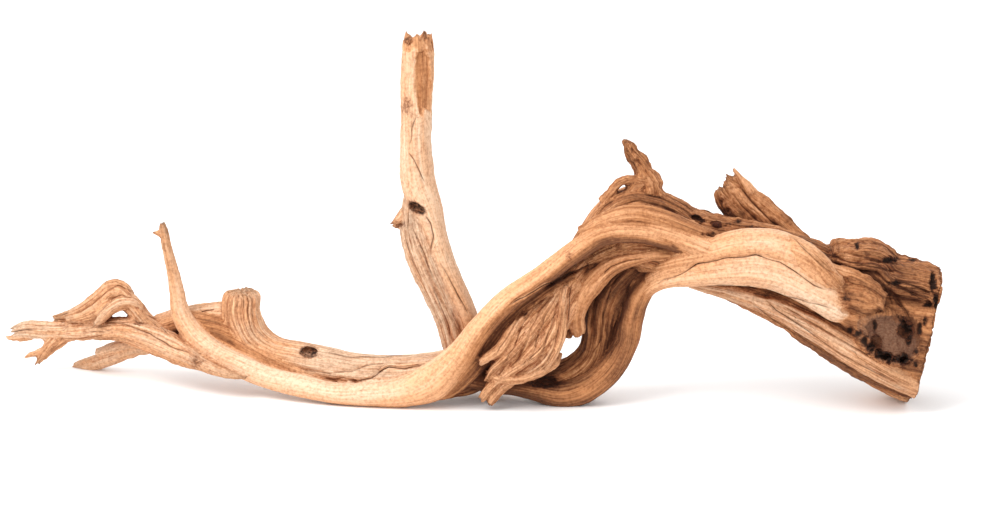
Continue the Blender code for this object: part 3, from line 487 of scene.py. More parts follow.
# Cracks: half width and depth in mm, how dark they are, the strands that they run in, and places in the
# photograph's frame
Crack = namedtuple("Crack", "half depth shade strands line")
BANDS = "pale_top pale_low band_fill trunk flake boss boss_fold leg_outer ridge saddle"
FAN = "panel splinter_1 splinter_2 splinter_3 finger"
CRACKS = [
    Crack(0.8, 1.6, 0.9, BANDS, [
        (650, 289.5), (662, 281), (680, 274), (697, 265), (723, 258.5), (757, 255.5), (780, 262), (800, 275),
        (814, 285.5), (823, 289), (846, 286.5)]),
    Crack(1.6, 3.6, 1.0, "trunk under pale_low", [(752, 293), (762, 294.5), (771, 297)]),
    Crack(0.9, 2.2, 0.7, "trunk under pale_low keel", [
        (692, 286.5), (733, 285), (757, 288.5), (786, 296), (819, 305), (842, 312)]),
    Crack(0.9, 2.4, 0.7, "trunk under keel", [
        (762, 296), (776, 310), (808, 331), (840, 354), (880, 375), (911, 389)]),
    Crack(0.8, 1.8, 0.6, "trunk under keel", [
        (741, 294.5), (774, 320.5), (811, 344), (844, 364), (866, 380)]),
    Crack(0.8, 1.8, 0.6, "trunk under", [(778, 303), (802, 317), (830, 333), (862, 352), (884, 366)]),
    Crack(0.8, 1.6, 0.5, "trunk under", [(790, 303), (812, 312), (838, 322), (852, 330)]),
    Crack(0.8, 2.0, 0.8, "limb ridge", [
        (343, 380), (357, 381), (371, 378), (389, 367), (405, 369), (432, 363)]),
    Crack(0.7, 1.3, 0.5, "limb", [
        (286, 362), (303, 369), (326, 373), (350, 371), (372, 364), (400, 362)]),
    Crack(0.7, 1.2, 0.5, "limb", [(300, 376), (322, 380), (350, 377)]),
    Crack(0.6, 1.3, 0.6, "limb", [(322, 352), (350, 357), (385, 357), (425, 354)]),
    Crack(0.6, 1.0, 0.6, "upright_pale", [(417.5, 114), (411.5, 130), (410, 147)]),
    Crack(0.6, 1.0, 0.8, "upright_pale", [(407.5, 151), (414, 160), (420, 172), (426, 185)]),
    Crack(0.8, 1.8, 0.9, "upright_brown upright_pale", [
        (425, 215), (431, 224), (433.5, 236), (430, 256)]),
    Crack(0.8, 1.6, 0.6, "upright_brown", [(412, 226), (417, 238), (423, 250), (428, 264), (434, 282)]),
    Crack(0.7, 1.4, 0.6, "upright_brown", [(405, 236), (409, 250), (415, 266), (424, 284)]),
    Crack(0.7, 1.6, 0.7, "upright_brown upright_pale", [(440, 262), (451, 282), (462, 302), (470, 318)]),
    Crack(0.7, 1.2, 0.5, "upright_brown", [(430, 282), (438, 300), (447, 322), (452, 340)]),
    Crack(1.2, 3.4, 1.0, "panel tongue splinter_3 web tongue_back leg_inner", [
        (572, 283), (569, 295), (569, 308), (567, 329)]),
    Crack(0.9, 2.4, 1.0, "ridge panel web crown tongue finger ridge_under", [
        (606, 256), (585, 267), (561, 278), (540, 288), (520, 299), (506, 308)]),
    Crack(0.9, 2.0, 0.8, "tongue ridge web leg_outer saddle", [
        (640, 252), (620, 254), (602, 260), (586, 270), (577, 282)]),
    Crack(0.9, 2.0, 0.8, "tongue web leg_inner leg_outer saddle", [
        (648, 258), (628, 260), (612, 266), (600, 277)]),
    Crack(1.0, 1.3, 0.42, FAN, [
        (553, 296), (540, 301), (526, 310), (514, 323), (507, 338), (498, 352), (489, 360)]),
    Crack(1.0, 1.3, 0.56, FAN, [
        (556, 294), (544, 298), (530, 312), (521, 328), (515, 344), (507, 360), (496, 368)]),
    Crack(1.0, 1.3, 0.42, FAN, [
        (558, 294), (551, 297), (540, 310), (531, 328), (526, 344), (519, 360), (508, 369)]),
    Crack(1.0, 1.3, 0.49, FAN, [(560, 292), (555, 298), (548, 312), (540, 330), (535, 347), (530, 362)]),
    Crack(1.0, 1.3, 0.42, FAN, [(561, 292), (558, 300), (555, 314), (549, 331), (544, 349), (539, 363)]),
    Crack(1.0, 1.3, 0.42, FAN, [(562, 300), (561, 315), (557, 335), (551, 353), (546, 363)]),
    Crack(0.8, 1.3, 0.6, FAN, [(534, 303), (521, 306), (513, 314), (508, 324)]),
    Crack(0.8, 1.3, 0.5, FAN, [(528, 308), (519, 314), (515, 322), (511, 332)]),
    Crack(0.7, 1.3, 0.6, "body hook", [(104, 322), (125, 324), (150, 334), (172, 347), (196, 356)]),
    Crack(0.7, 1.2, 0.5, "body hook", [(140, 312), (160, 321), (178, 334), (188, 346)]),
    Crack(0.7, 1.4, 0.6, "body", [(128, 322), (144, 318), (160, 326), (172, 338)]),
    Crack(0.6, 1.2, 0.8, "body tip_tine", [(8, 332), (20, 330), (36, 329)]),
    Crack(0.6, 1.2, 0.5, "hook", [(72, 318), (92, 304), (108, 290), (119, 285), (134, 292), (152, 308)]),
    Crack(0.6, 1.2, 0.5, "hook hook_tine", [(80, 322), (98, 312), (112, 299), (122, 295), (138, 301)]),
    Crack(0.8, 2.0, 0.9, "back_limb limb", [(194, 316), (203, 311), (216, 308)]),
    Crack(1.5, 3.6, 0.9, "shoulder stub trunk boss", [(888, 283), (904, 290), (926, 301), (934, 306)]),
    Crack(1.3, 3.0, 0.8, "shoulder stub trunk boss", [(892, 279), (912, 285), (934, 296)]),
    Crack(1.4, 3.0, 0.8, "shoulder stub trunk boss", [(884, 288), (895, 297), (905, 309), (913, 324)]),
    Crack(1.2, 2.4, 0.7, "shoulder stub trunk boss", [(880, 280), (888, 294), (893, 306)]),
    Crack(1.1, 2.4, 0.8, "shoulder trunk", [(806, 252), (830, 262), (852, 270), (878, 276)]),
    Crack(1.0, 2.0, 0.7, "shoulder trunk", [(806, 247), (826, 254), (850, 262), (880, 268), (910, 274)]),
    Crack(0.9, 1.8, 0.6, "shoulder trunk", [(846, 254), (868, 257), (884, 262), (908, 266)]),
    Crack(0.9, 2.0, 0.6, "leg_inner leg_outer", [
        (641, 268), (630, 285), (623, 302), (620, 320), (618, 340), (606, 362)]),
    Crack(0.8, 1.6, 0.5, "leg_inner", [(628, 266), (612, 285), (605, 310), (601, 340), (590, 358)]),
    Crack(0.8, 1.6, 0.5, "leg_inner", [(612, 268), (598, 288), (592, 312), (590, 336)]),
    Crack(0.9, 1.8, 0.6, "crown trunk saddle", [
        (596, 222), (616, 206), (640, 200), (664, 206), (690, 218)]),
    Crack(0.9, 1.8, 0.7, "crown trunk saddle", [(640, 194), (660, 198), (684, 210), (700, 222)]),
    Crack(0.9, 1.6, 0.5, "crown trunk saddle", [
        (606, 228), (626, 214), (652, 211), (676, 220), (696, 232)]),
    Crack(0.8, 1.5, 0.5, "crown trunk saddle", [(572, 240), (586, 226), (604, 206), (618, 198)]),
    Crack(0.9, 2.0, 0.8, "plate", [(738, 184), (752, 202), (772, 222), (796, 240)]),
    Crack(1.6, 0.8, 0.8, "shoulder stub trunk under", [
        (936, 262), (940, 268), (941, 285), (935.5, 303), (932.5, 328), (927, 350), (923, 368), (920, 380)]),
    Crack(0.8, 1.4, 0.6, "plate", [(730, 190), (742, 206), (758, 222), (776, 236)]),
    Crack(0.8, 1.4, 0.6, "flake pale_top", [(790, 234), (802, 247), (822, 266), (840, 279)]),
]

# Rot pits and knots: place and half widths in the frame's pixels, depth in mm, how dark they are, strands
Pit = namedtuple("Pit", "x y across up depth shade strands")
ROT = "stub trunk boss boss_fold boss_nub shoulder under keel"
CREST = "crown trunk plate plate_lobe saddle saddle_top"
PITS = [
    Pit(850, 330, 3.0, 2.5, 1.5, 0.8, ROT), Pit(858, 334, 4.0, 3.5, 2.5, 1.0, ROT),
    Pit(865, 341, 4.0, 5.0, 3.5, 1.0, ROT), Pit(871, 348, 4.5, 5.5, 4.5, 1.0, ROT),
    Pit(879, 354, 5.0, 5.0, 5.0, 1.0, ROT), Pit(887, 357, 5.5, 4.5, 4.5, 1.0, ROT),
    Pit(896, 359, 4.0, 3.5, 3.0, 0.8, ROT), Pit(904, 359, 5.0, 5.5, 5.0, 1.0, ROT),
    Pit(875, 326, 2.0, 6.0, 2.5, 0.9, ROT), Pit(909, 340, 3.0, 5.0, 3.0, 0.8, ROT),
    Pit(920, 328, 2.5, 7.0, 3.0, 0.7, ROT), Pit(925, 322, 2.0, 6.0, 2.5, 0.7, ROT),
    Pit(903, 320, 3.0, 4.0, 3.0, 0.9, ROT), Pit(916, 352, 2.5, 4.0, 2.0, 0.6, ROT),
    Pit(933, 283, 3.5, 11.0, 4.5, 1.0, ROT), Pit(936, 300, 2.5, 8.0, 4.0, 1.0, ROT),
    Pit(928, 305, 4.5, 2.0, 2.5, 0.9, ROT), Pit(916, 364, 2.0, 3.0, 2.0, 0.7, ROT),
    Pit(890, 260, 7.5, 2.6, 4.0, 1.0, ROT), Pit(895, 283, 6.0, 2.2, 3.0, 0.9, ROT),
    Pit(912, 260, 5.0, 1.4, 1.5, 0.5, ROT), Pit(857, 246, 2.0, 4.0, 2.5, 0.7, ROT),
    Pit(711, 234, 8.0, 2.6, 3.5, 0.3, CREST), Pit(738, 222, 4.0, 2.5, 2.5, 0.45, CREST),
    Pit(751, 227, 4.0, 1.6, 2.0, 0.4, CREST), Pit(727, 224, 5.0, 1.6, 2.0, 0.25, CREST),
    Pit(722, 202, 3.0, 4.0, 2.0, 0.1, CREST),
    Pit(729, 211, 3.0, 3.0, 2.0, 0.12, CREST), Pit(908, 326, 6.5, 8.0, 1.0, 1.0, "stub"),
    Pit(196, 361, 4.5, 4.0, 1.2, 0.2, "body ridge"), Pit(407, 106, 3.0, 5.0, 0.8, 0.12, "upright_pale"),
    Pit(525, 314, 3.0, 2.6, 1.0, 0.15, FAN), Pit(569, 256, 2.0, 2.4, 0.5, 0.1, "ridge"),
    Pit(846, 299, 4.0, 5.0, 0.8, 0.3, "boss pale_low trunk"), Pit(140, 322, 6.0, 3.0, 1.6, 0.45, "body"),
    Pit(408, 40, 4.0, 3.0, 2.0, 0.35, "upright_pale"),
    Pit(401, 225, 3.0, 2.4, 1.6, 0.15, "upright_spur upright_brown"),
]

# Where wood has broken away or stands up as a flake: depth in mm (negative where it stands up), how much
# browner it is, its strands, and its outline in the frame's pixels
Patch = namedtuple("Patch", "depth tone strands outline")
PATCHES = [
    Patch(3.0, 0.5, "upright_pale", [
        (417.5, 48), (414, 70), (415.5, 95), (420, 116), (425, 109), (430, 111), (431.5, 82), (430, 58),
        (425, 47)]),
    Patch(0.8, 0.35, "upright_pale", [
        (398, 24), (440, 24), (436, 49), (431, 52), (427, 46), (421, 50), (416, 47), (409, 53), (402, 49)]),
    Patch(-2.6, 0.22, "pale_top band_fill flake trunk boss boss_fold", [
        (789, 236), (800, 243), (813, 255), (828, 267), (841, 277), (847, 285), (838, 288), (826, 287.5),
        (816, 283), (806, 274), (797, 262), (791, 250)]),
    Patch(-2.0, 0.1, "boss boss_fold pale_top band_fill trunk", [
        (846, 276), (854, 273), (865, 277), (878, 285), (886, 294), (884, 299), (874, 292), (862, 286),
        (850, 283)]),
    Patch(1.2, 0.5, "stub trunk", [
        (865, 327), (871, 320), (880, 317), (900, 315), (913, 318), (921, 327), (919, 344), (911, 358),
        (897, 360), (884, 355), (873, 344)]),
    Patch(2.0, 0.2, "boss boss_nub boss_fold pale_low trunk stub", [
        (840, 309), (852, 306), (866, 311), (880, 308), (884, 312), (868, 317), (852, 313), (842, 314)]),
]


class WoodSettings(bpy.types.PropertyGroup):
    """How finely the wood is grown, and the colours of its finish"""

    skin: FloatProperty(
        name="Skin detail", description="Size of the smallest relief on the wood's skin",
        default=0.0010, min=0.0005, max=0.01, unit="LENGTH", precision=4)
    soften: IntProperty(
        name="Soften", description="How many times the whole skin is softened", default=3, min=0)
    melt: IntProperty(
        name="Melt", description="How wide the creases are that have grown together", default=32, min=0)
    most_faces: IntProperty(
        name="Most triangles", description="The finished wood has fewer triangles than this",
        default=194000, min=1000)
    relief: FloatProperty(
        name="Relief", description="Share of the full depth of grooves, cracks and frayed ends",
        default=1.0, min=0.0, max=2.0, subtype="FACTOR")
    pale: FloatVectorProperty(
        name="Bleached", description="Colour of sandblasted, sun-bleached wood",
        default=(0.74, 0.52, 0.355), subtype="COLOR", min=0, max=1)
    tan: FloatVectorProperty(
        name="Tan", description="Colour of lightly weathered wood",
        default=(0.71, 0.38, 0.195), subtype="COLOR", min=0, max=1)
    brown: FloatVectorProperty(
        name="Brown", description="Colour of deeply weathered wood",
        default=(0.48, 0.21, 0.085), subtype="COLOR", min=0, max=1)
    rust: FloatVectorProperty(
        name="Red-brown", description="Colour of old, decayed wood",
        default=(0.17, 0.066, 0.028), subtype="COLOR", min=0, max=1)
    rot: FloatVectorProperty(
        name="Rot", description="Colour inside rot holes and cracks",
        default=(0.02, 0.008, 0.004), subtype="COLOR", min=0, max=1)


class StageSettings(bpy.types.PropertyGroup):
    """The floor, the lights, the surround and the camera's place"""

    distance: FloatProperty(
        name="Camera distance", description="From the camera to the middle of the frame",
        default=3.0, min=0.5, unit="LENGTH")
    elevation: FloatProperty(
        name="Camera elevation", description="How far the camera looks down",
        default=math.radians(14), unit="ROTATION")
    floor_size: FloatProperty(
        name="Floor size", description="Side of the floor", default=24.0, min=1, unit="LENGTH")
    floor: FloatVectorProperty(
        name="Floor", description="Colour of the floor", default=(0.95, 0.95, 0.95),
        subtype="COLOR", min=0, max=1)
    key: FloatProperty(
        name="Key light", description="Power of the large light up and to the left, in watts",
        default=46.0, min=0)
    fill: FloatProperty(
        name="Fill light", description="Power of the wide light from the front, in watts",
        default=8.0, min=0)
    sky: FloatProperty(
        name="Surround", description="Strength of the white surround", default=1.25, min=0)


def smooth_run(points, step):
    """Rows along a smooth curve through the points, about a step apart."""
    points = np.array(points, float)
    gaps = np.linalg.norm(np.diff(points[:, :3], axis=0), axis=1)
    at = np.concatenate([[0.0], np.cumsum(np.sqrt(gaps))])
    slopes = np.gradient(points, at, axis=0)
    rows = []
    for i, gap in enumerate(gaps):
        span = at[i + 1] - at[i]
        count = max(2, round(gap / step))
        t = np.linspace(0, 1, count, endpoint=False)[:, None]
        rows.append(
            (2 * t**3 - 3 * t**2 + 1) * points[i]
            + (t**3 - 2 * t**2 + t) * span * slopes[i]
            + (3 * t**2 - 2 * t**3) * points[i + 1]
            + (t**3 - t**2) * span * slopes[i + 1]
        )
    rows.append(points[-1:])
    return np.concatenate(rows)


def section_axes(rows, roll):
    """The strand's direction at each row, the one across it as seen from the front, and one through it."""
    along = np.gradient(rows[:, :3], axis=0)
    along /= np.linalg.norm(along, axis=1, keepdims=True)
    across = np.cross(along, (0.0, 1.0, 0.0))
    end_on = np.linalg.norm(across, axis=1) < END_ON
    across[end_on] = (1.0, 0.0, 0.0)
    across -= along * (across * along).sum(axis=1, keepdims=True)
    across /= np.linalg.norm(across, axis=1, keepdims=True)
    through = np.cross(along, across)
    c, s = math.cos(math.radians(roll)), math.sin(math.radians(roll))
    return along, c * across + s * through, c * through - s * across


class GrownStrand:
    """A strand's sections, and the place of any point along and round it. All in mm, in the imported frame."""

    def __init__(self, name, strand, number):
        rows = smooth_run(strand.points, STATION_STEP)
        self.name = name
        self.finish = FINISHES[name]
        self.strand = strand
        self.shift = GRAIN_SHIFT * number
        self.centre = rows[:, :3] - ORIGIN
        self.half = np.maximum(rows[:, 3:] / 2, THINNEST_HALF)
        self.along, self.across, self.through = section_axes(rows, strand.roll)
        steps = np.linalg.norm(np.diff(self.centre, axis=0), axis=1)
        self.at = np.concatenate([[0.0], np.cumsum(steps)])
        self.length = self.at[-1]
        self.turn = np.radians(strand.twist * self.at / 100)
        self.mean = float(np.sqrt(self.half.mean(axis=0).prod()))

    def rings(self):
        """The fluted oval sections, as rings of points."""
        angle = np.linspace(0, 2 * math.pi, SIDES, endpoint=False)[None, :]
        wind = angle + self.turn[:, None]
        flutes, at = self.strand.flutes, self.at[:, None]
        wave = 0.6 * np.cos(flutes * wind) + 0.4 * np.cos((flutes - 2) * wind + at / 23)
        groove = np.minimum(self.strand.groove, DEEPEST_FLUTE * self.half.min(axis=1))[:, None]
        depth = groove * (0.5 - 0.5 * wave)
        x = (np.cos(angle) * (self.half[:, :1] - depth))[..., None]
        y = (np.sin(angle) * (self.half[:, 1:] - depth))[..., None]
        return self.centre[:, None] + x * self.across[:, None] + y * self.through[:, None]

    def near(self, points):
        """Indices of the points in the strand's box."""
        reach = self.half.max(axis=1)[:, None] + BOX_MARGIN
        low, high = (self.centre - reach).min(axis=0), (self.centre + reach).max(axis=0)
        return np.nonzero(((points > low) & (points < high)).all(axis=1))[0]

    def nearest_station(self, points):
        """The number of the section whose centre is nearest to each point."""
        best = np.full(len(points), np.inf)
        index = np.zeros(len(points), int)
        for i, centre in enumerate(self.centre):
            gap = points - centre
            gap = np.einsum("ij,ij->i", gap, gap)
            closer = gap < best
            best[closer] = gap[closer]
            index[closer] = i
        return index

    def place(self, points):
        """Grain coordinates, height over the strand's skin (negative inside) and direction at each point."""
        last = len(self.centre) - 1
        i = self.nearest_station(points)
        ahead = ((points - self.centre[i]) * self.along[i]).sum(axis=1)
        at = np.clip(i + ahead / STATION_STEP, 0, last)
        low = np.minimum(at.astype(int), last - 1)
        part = (at - low)[:, None]

        def mixed(rows):
            """The rows of the two sections beside each point, mixed by how near it is to them."""
            rows = rows if rows.ndim > 1 else rows[:, None]
            return rows[low] * (1 - part) + rows[low + 1] * part

        gap = points - mixed(self.centre)
        along = mixed(self.along)
        across, through, half = mixed(self.across), mixed(self.through), mixed(self.half)
        s = mixed(self.at)[:, 0]
        beyond = (gap * along).sum(axis=1)
        a = (gap * across).sum(axis=1) / half[:, 0]
        b = (gap * through).sum(axis=1) / half[:, 1]
        round_off = np.hypot(a, b) + 1e-6
        width = np.hypot(a * half[:, 0], b * half[:, 1])
        depth = width * (1 - 1 / round_off)
        past = np.where((at <= 0) | (at >= last), np.abs(beyond), 0)
        depth = np.where(past > 0, np.maximum(depth, past), depth)
        turn = mixed(self.turn)[:, 0]
        c, t = np.cos(turn), np.sin(turn)
        u, v = a * self.mean, b * self.mean
        grain = np.stack([s + beyond * (past > 0) + self.shift, u * c - v * t, u * t + v * c], axis=1)
        return grain, depth, along


def rolled_tube(bm, rings):
    """Adds a grid, rolled up round the rings. Its seam and ends are closed later."""
    count, sides = rings.shape[:2]
    made = bmesh.ops.create_grid(bm, x_segments=count - 1, y_segments=sides, size=0.5)
    for vert in made["verts"]:
        row = round((vert.co.x + 0.5) * (count - 1))
        column = round((vert.co.y + 0.5) * sides) % sides
        vert.co = rings[row, column] * MM


def cut_flat(bm, point, outward):
    """Cuts off what lies beyond a plane and closes the cut of each tube."""
    everything = bm.verts[:] + bm.edges[:] + bm.faces[:]
    bmesh.ops.bisect_plane(
        bm, geom=everything, dist=SAME_PLACE, plane_co=point, plane_no=outward, clear_outer=True)
    rims = [edge for edge in bm.edges if edge.is_boundary]
    bmesh.ops.holes_fill(bm, edges=rims, sides=0)


def row_metres(point):
    """A point of the design's frame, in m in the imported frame."""
    return (Vector(point) - Vector(ORIGIN)) * MM


def saw_outward():
    """The direction that the sawn face looks in."""
    lean = math.radians(SAW_LEAN_DEG)
    return Vector((math.cos(lean), 0.0, -math.sin(lean)))


def new_object(bm, name):
    """An object in the scene with the shape that was built, which is freed."""
    mesh = bpy.data.meshes.new(name)
    bm.to_mesh(mesh)
    bm.free()
    made = bpy.data.objects.new(name, mesh)
    bpy.context.scene.collection.objects.link(made)
    return made


def apply_modifiers(made):
    """Makes what the object's modifiers build its own mesh, and takes the modifiers away."""
    seen = made.evaluated_get(bpy.context.evaluated_depsgraph_get())
    mesh = bpy.data.meshes.new_from_object(seen)
    made.modifiers.clear()
    old, made.data = made.data, mesh
    bpy.data.meshes.remove(old)
    mesh.name = made.name


def fused_skin(grown, settings):
    """One object: all strands fused into a skin, with the saw cut, the worn floor flats and the hollows."""
    bm = bmesh.new()
    for strand in grown:
        rolled_tube(bm, strand.rings())
    bmesh.ops.remove_doubles(bm, verts=bm.verts, dist=SAME_PLACE)
    bmesh.ops.holes_fill(bm, edges=[edge for edge in bm.edges if edge.is_boundary], sides=0)
    cut_flat(bm, row_metres(SAW_POINT), saw_outward())
    cut_flat(bm, (0, 0, 0), (0, 0, -1))
    bmesh.ops.recalc_face_normals(bm, faces=bm.faces)
    wood = new_object(bm, "driftwood_grown")
    fuse = wood.modifiers.new("fuse", "REMESH")
    fuse.mode = "VOXEL"
    fuse.voxel_size = settings.skin
    cutter = hollows_cutter()
    cut = wood.modifiers.new("hollows", "BOOLEAN")
    cut.operation = "DIFFERENCE"
    cut.solver = "MANIFOLD"
    cut.object = cutter
    soften = wood.modifiers.new("soften", "SMOOTH")
    soften.factor = 0.5
    soften.iterations = settings.soften
    apply_modifiers(wood)
    bpy.data.objects.remove(cutter)
    return wood


def hollows_cutter():
    """A ball with an uneven skin in each hollow's place, all in one object."""
    bm = bmesh.new()
    for hollow in HOLLOWS.values():
        ball = bmesh.ops.create_icosphere(bm, subdivisions=4, radius=0.5)["verts"]
        for vert in ball:
            vert.co *= 1 + 0.3 * noise.noise(vert.co * 6 + Vector(hollow.centre))
        turn = Euler([math.radians(angle) for angle in hollow.turn]).to_matrix().to_4x4()
        widths = Matrix.Diagonal([*(Vector(hollow.widths) * MM), 1])
        place = Matrix.Translation(row_metres(hollow.centre)) @ turn @ widths
        bmesh.ops.transform(bm, matrix=place, verts=ball)
    return new_object(bm, "hollows")


def noise_at(places):
    """Smooth noise from -1 to 1 at each place."""
    return np.array([noise.noise(place) for place in places.tolist()])


def eased(x):
    """A smooth step from 0 to 1 as x goes from 0 to 1."""
    x = np.clip(x, 0, 1)
    return x * x * (3 - 2 * x)


def along_strand(values, share):
    """One value, or several that are spaced evenly along the strand, at each share of its length."""
    values = np.atleast_1d(values)
    return np.interp(share, np.linspace(0, 1, len(values)), values)


def trough(gap, half):
    """1 in the middle of a groove, and hardly over 0 at twice its half width."""
    return np.exp(-((gap / half) ** 2))


def grain_noise(grain, pitch, length, fineness, offset=0.0):
    """Noise drawn out to a length in mm along the grain. More fineness makes it narrower across it."""
    return noise_at(np.hstack([grain[:, :1] / length, grain[:, 1:] / pitch * fineness]) + offset)


def grooved(grain, pitch, wear):
    """Relief of weathered grain in mm, and how deep in a groove each place is, from 0 to 1."""
    wide = grain_noise(grain, pitch, 85, 0.55)
    main = grain_noise(grain, pitch, 60, 1.0, 31.3)
    fine = grain_noise(grain, pitch, 38, 2.3, 77.1)
    patch = eased(0.5 + 1.1 * grain_noise(grain, pitch, 42, 0.5, 5.7))
    groove = trough(main, 0.12) * patch
    line = trough(fine, 0.2)
    drop = 1.5 * wear * groove + 0.55 * wear * line * (0.5 + 0.5 * patch)
    rise = 1.2 * wear * wide + 0.5 * wear * np.abs(main)
    return rise - drop, np.clip(0.8 * groove + 0.35 * line, 0, 1) * (0.25 + 0.75 * wear)


def combed(place, share, comb):
    """Depth in mm between close ridges that run along a strand, and how deep each place is, from 0 to 1."""
    count, depth, start = comb
    angle = np.arctan2(place[:, 2], place[:, 1])
    bend = 1.6 * noise_at(place / (30, 14, 14))
    wave = np.abs(np.sin(angle * count / 2 + bend))
    dip = (1 - wave) ** 2 * eased((share - start) / 0.12)
    return depth * dip, dip * min(1.0, depth)


def looks_on(strand, place):
    """Tone, wear, relief, groove, melt and roughness at places on one strand, and a 1 to count each by."""
    share = (place[:, 0] - strand.shift) / strand.length
    finish = strand.finish
    tone, wear, melt, rough = (
        along_strand(values, share) for values in (finish.tone, finish.wear, finish.melt, finish.rough))
    relief, groove = grooved(place, finish.pitch, wear)
    if strand.name in COMBS:
        dip, shade = combed(place, share, COMBS[strand.name])
        relief, groove = relief - dip, np.maximum(groove, shade)
    return np.stack([tone, wear, relief, groove, melt, rough, np.ones(len(tone))], axis=1)


# What is known of each point of the skin: its grain coordinates, its looks, the direction of its grain, and
# the number of the strand that it lies on
Skin = namedtuple("Skin", "grain tone wear relief groove melt rough along owner")


def grow_skin(points, grown):
    """For each point: the grain coordinates of the strand that it lies on, and looks mixed from strands."""
    count = len(points)
    nearest = np.full(count, np.inf)
    grain = np.zeros((count, 3))
    along = np.zeros((count, 3))
    owner = np.zeros(count, int)
    sums = np.zeros((count, 7))
    for number, strand in enumerate(grown):
        picked = strand.near(points)
        if not len(picked):
            continue
        place, depth, direction = strand.place(points[picked])
        on = depth < STRAND_REACH
        picked, place, depth, direction = picked[on], place[on], depth[on], direction[on]
        closer = depth < nearest[picked]
        mine = picked[closer]
        nearest[mine] = depth[closer]
        grain[mine] = place[closer]
        along[mine] = direction[closer]
        owner[mine] = number
        weight = np.exp(-np.maximum(depth, -STRAND_CORE) / STRAND_FADE)
        sums[picked] += looks_on(strand, place) * weight[:, None]
    sums[:, :6] /= np.maximum(sums[:, 6:], 1e-9)
    return Skin(grain, *sums.T[:6], along, owner)


def frayed_shift(skin, grown):
    """How far the fibres at the strands' free ends reach past or short of the end."""
    grain = skin.grain
    shift = np.zeros((len(grain), 3))
    for number, strand in enumerate(grown):
        most = FRAYED.get(strand.name, 0)
        if not most:
            continue
        mine = np.nonzero(skin.owner == number)[0]
        if not len(mine):
            continue
        s = grain[mine, 0] - strand.shift
        near_end = eased((s - strand.length + 4 * most) / (4 * most))
        fibres = noise_at(grain[mine] / (40, 5.5, 5.5)) + 0.45 * noise_at(grain[mine] / (20, 2.4, 2.4) + 9)
        shift[mine] = skin.along[mine] * (near_end * (fibres * 1.5 - 0.4) * most)[:, None]
    return shift


def seen_in_frame(points):
    """Where points in mm fall in the photograph's frame, in pixels."""
    settings = bpy.context.scene.driftwood_stage
    tilt = settings.elevation
    forward = np.array((0, math.cos(tilt), -math.sin(tilt)))
    up = np.array((0, math.sin(tilt), math.cos(tilt)))
    gap = points - np.array(AIM) + forward * settings.distance / MM
    far = gap @ forward
    x = FRAME_SIZE[0] / 2 + FOCAL_PX * gap[:, 0] / far
    y = FRAME_SIZE[1] / 2 - FOCAL_PX * (gap @ up) / far
    return np.stack([x, y], axis=1)


def facing_front(normals):
    """How far each normal points at the camera, from -1 to 1."""
    tilt = bpy.context.scene.driftwood_stage.elevation
    return normals @ np.array((0, -math.cos(tilt), math.sin(tilt)))


def line_gap(places, line):
    """Signed distance from each place to a broken line, and how far along it is, from 0 to 1."""
    line = np.array(line, float)
    best = np.full(len(places), np.inf)
    side = np.ones(len(places))
    share = np.zeros(len(places))
    for i, (a, b) in enumerate(zip(line, line[1:])):
        run = b - a
        t = np.clip(((places - a) @ run) / (run @ run), 0, 1)
        off = places - a - t[:, None] * run
        gap = np.linalg.norm(off, axis=1)
        closer = gap < best
        best[closer] = gap[closer]
        side[closer] = np.sign(run[0] * off[:, 1] - run[1] * off[:, 0])[closer]
        share[closer] = (i + t[closer]) / (len(line) - 1)
    return best * side, share


def numbers_of(names, grown):
    """The numbers of the strands whose names are given, with spaces between them."""
    wanted = names.split()
    return [i for i, strand in enumerate(grown) if strand.name in wanted]


# Marks on the skin: their depth in mm, the signed distance in mm to the nearest crack and how
# dark that crack is, how rotten the wood is, over 0 inside a hole, and how much browner it is
Marks = namedtuple("Marks", "depth gap crack rot tint")


class Front:
    """The skin as the photograph shows it, for placing marks on it."""

    def __init__(self, points, normals, owner, grown):
        self.points = points
        self.places = seen_in_frame(points)
        self.facing = facing_front(normals) > LEAST_FACING
        self.wobble = noise_at(points / 10)
        self.pixel = 1000 * bpy.context.scene.driftwood_stage.distance / FOCAL_PX
        self.owner = owner
        self.grown = grown

    def picked(self, near, strands):
        """Indices of the points near a mark that face the camera and lie on one of its strands."""
        return np.nonzero(near & self.facing & np.isin(self.owner, numbers_of(strands, self.grown)))[0]


def mark_crack(marks, front, crack):
    """Adds one crack, which runs out thin at both ends."""
    line = np.array(crack.line)
    reach = CRACK_REACH / front.pixel
    low, high = line.min(axis=0) - reach, line.max(axis=0) + reach
    picked = front.picked(((front.places > low) & (front.places < high)).all(axis=1), crack.strands)
    if not len(picked):
        return
    wobble = front.wobble[picked]
    gap, share = line_gap(front.places[picked] + wobble[:, None] * CRACK_WANDER, line)
    gap *= front.pixel
    taper = eased(share * 5) * eased((1 - share) * 5) * (1 + 0.5 * wobble)
    marks.depth[picked] += crack.depth * trough(gap, crack.half) * taper
    closer = np.abs(gap) < np.abs(marks.gap[picked])
    mine = picked[closer]
    marks.gap[mine] = gap[closer]
    marks.crack[mine] = (crack.shade * taper * eased((CRACK_REACH - np.abs(gap)) / 2))[closer]


def mark_pit(marks, front, pit):
    """Adds one ragged pit."""
    x, y = front.places.T
    gap = np.hypot((x - pit.x) / pit.across, (y - pit.y) / pit.up)
    picked = front.picked(gap < PIT_REACH, pit.strands)
    points = front.points[picked]
    ragged = 0.5 * noise_at(points / 3.4) + 0.35 * noise_at(points / 1.7 + 5)
    level = 1.1 - gap[picked] + ragged
    marks.depth[picked] += pit.depth * eased(level + 0.1)
    marks.rot[picked] = np.maximum(marks.rot[picked], pit.shade * np.clip(level * 1.4, -1, 1))


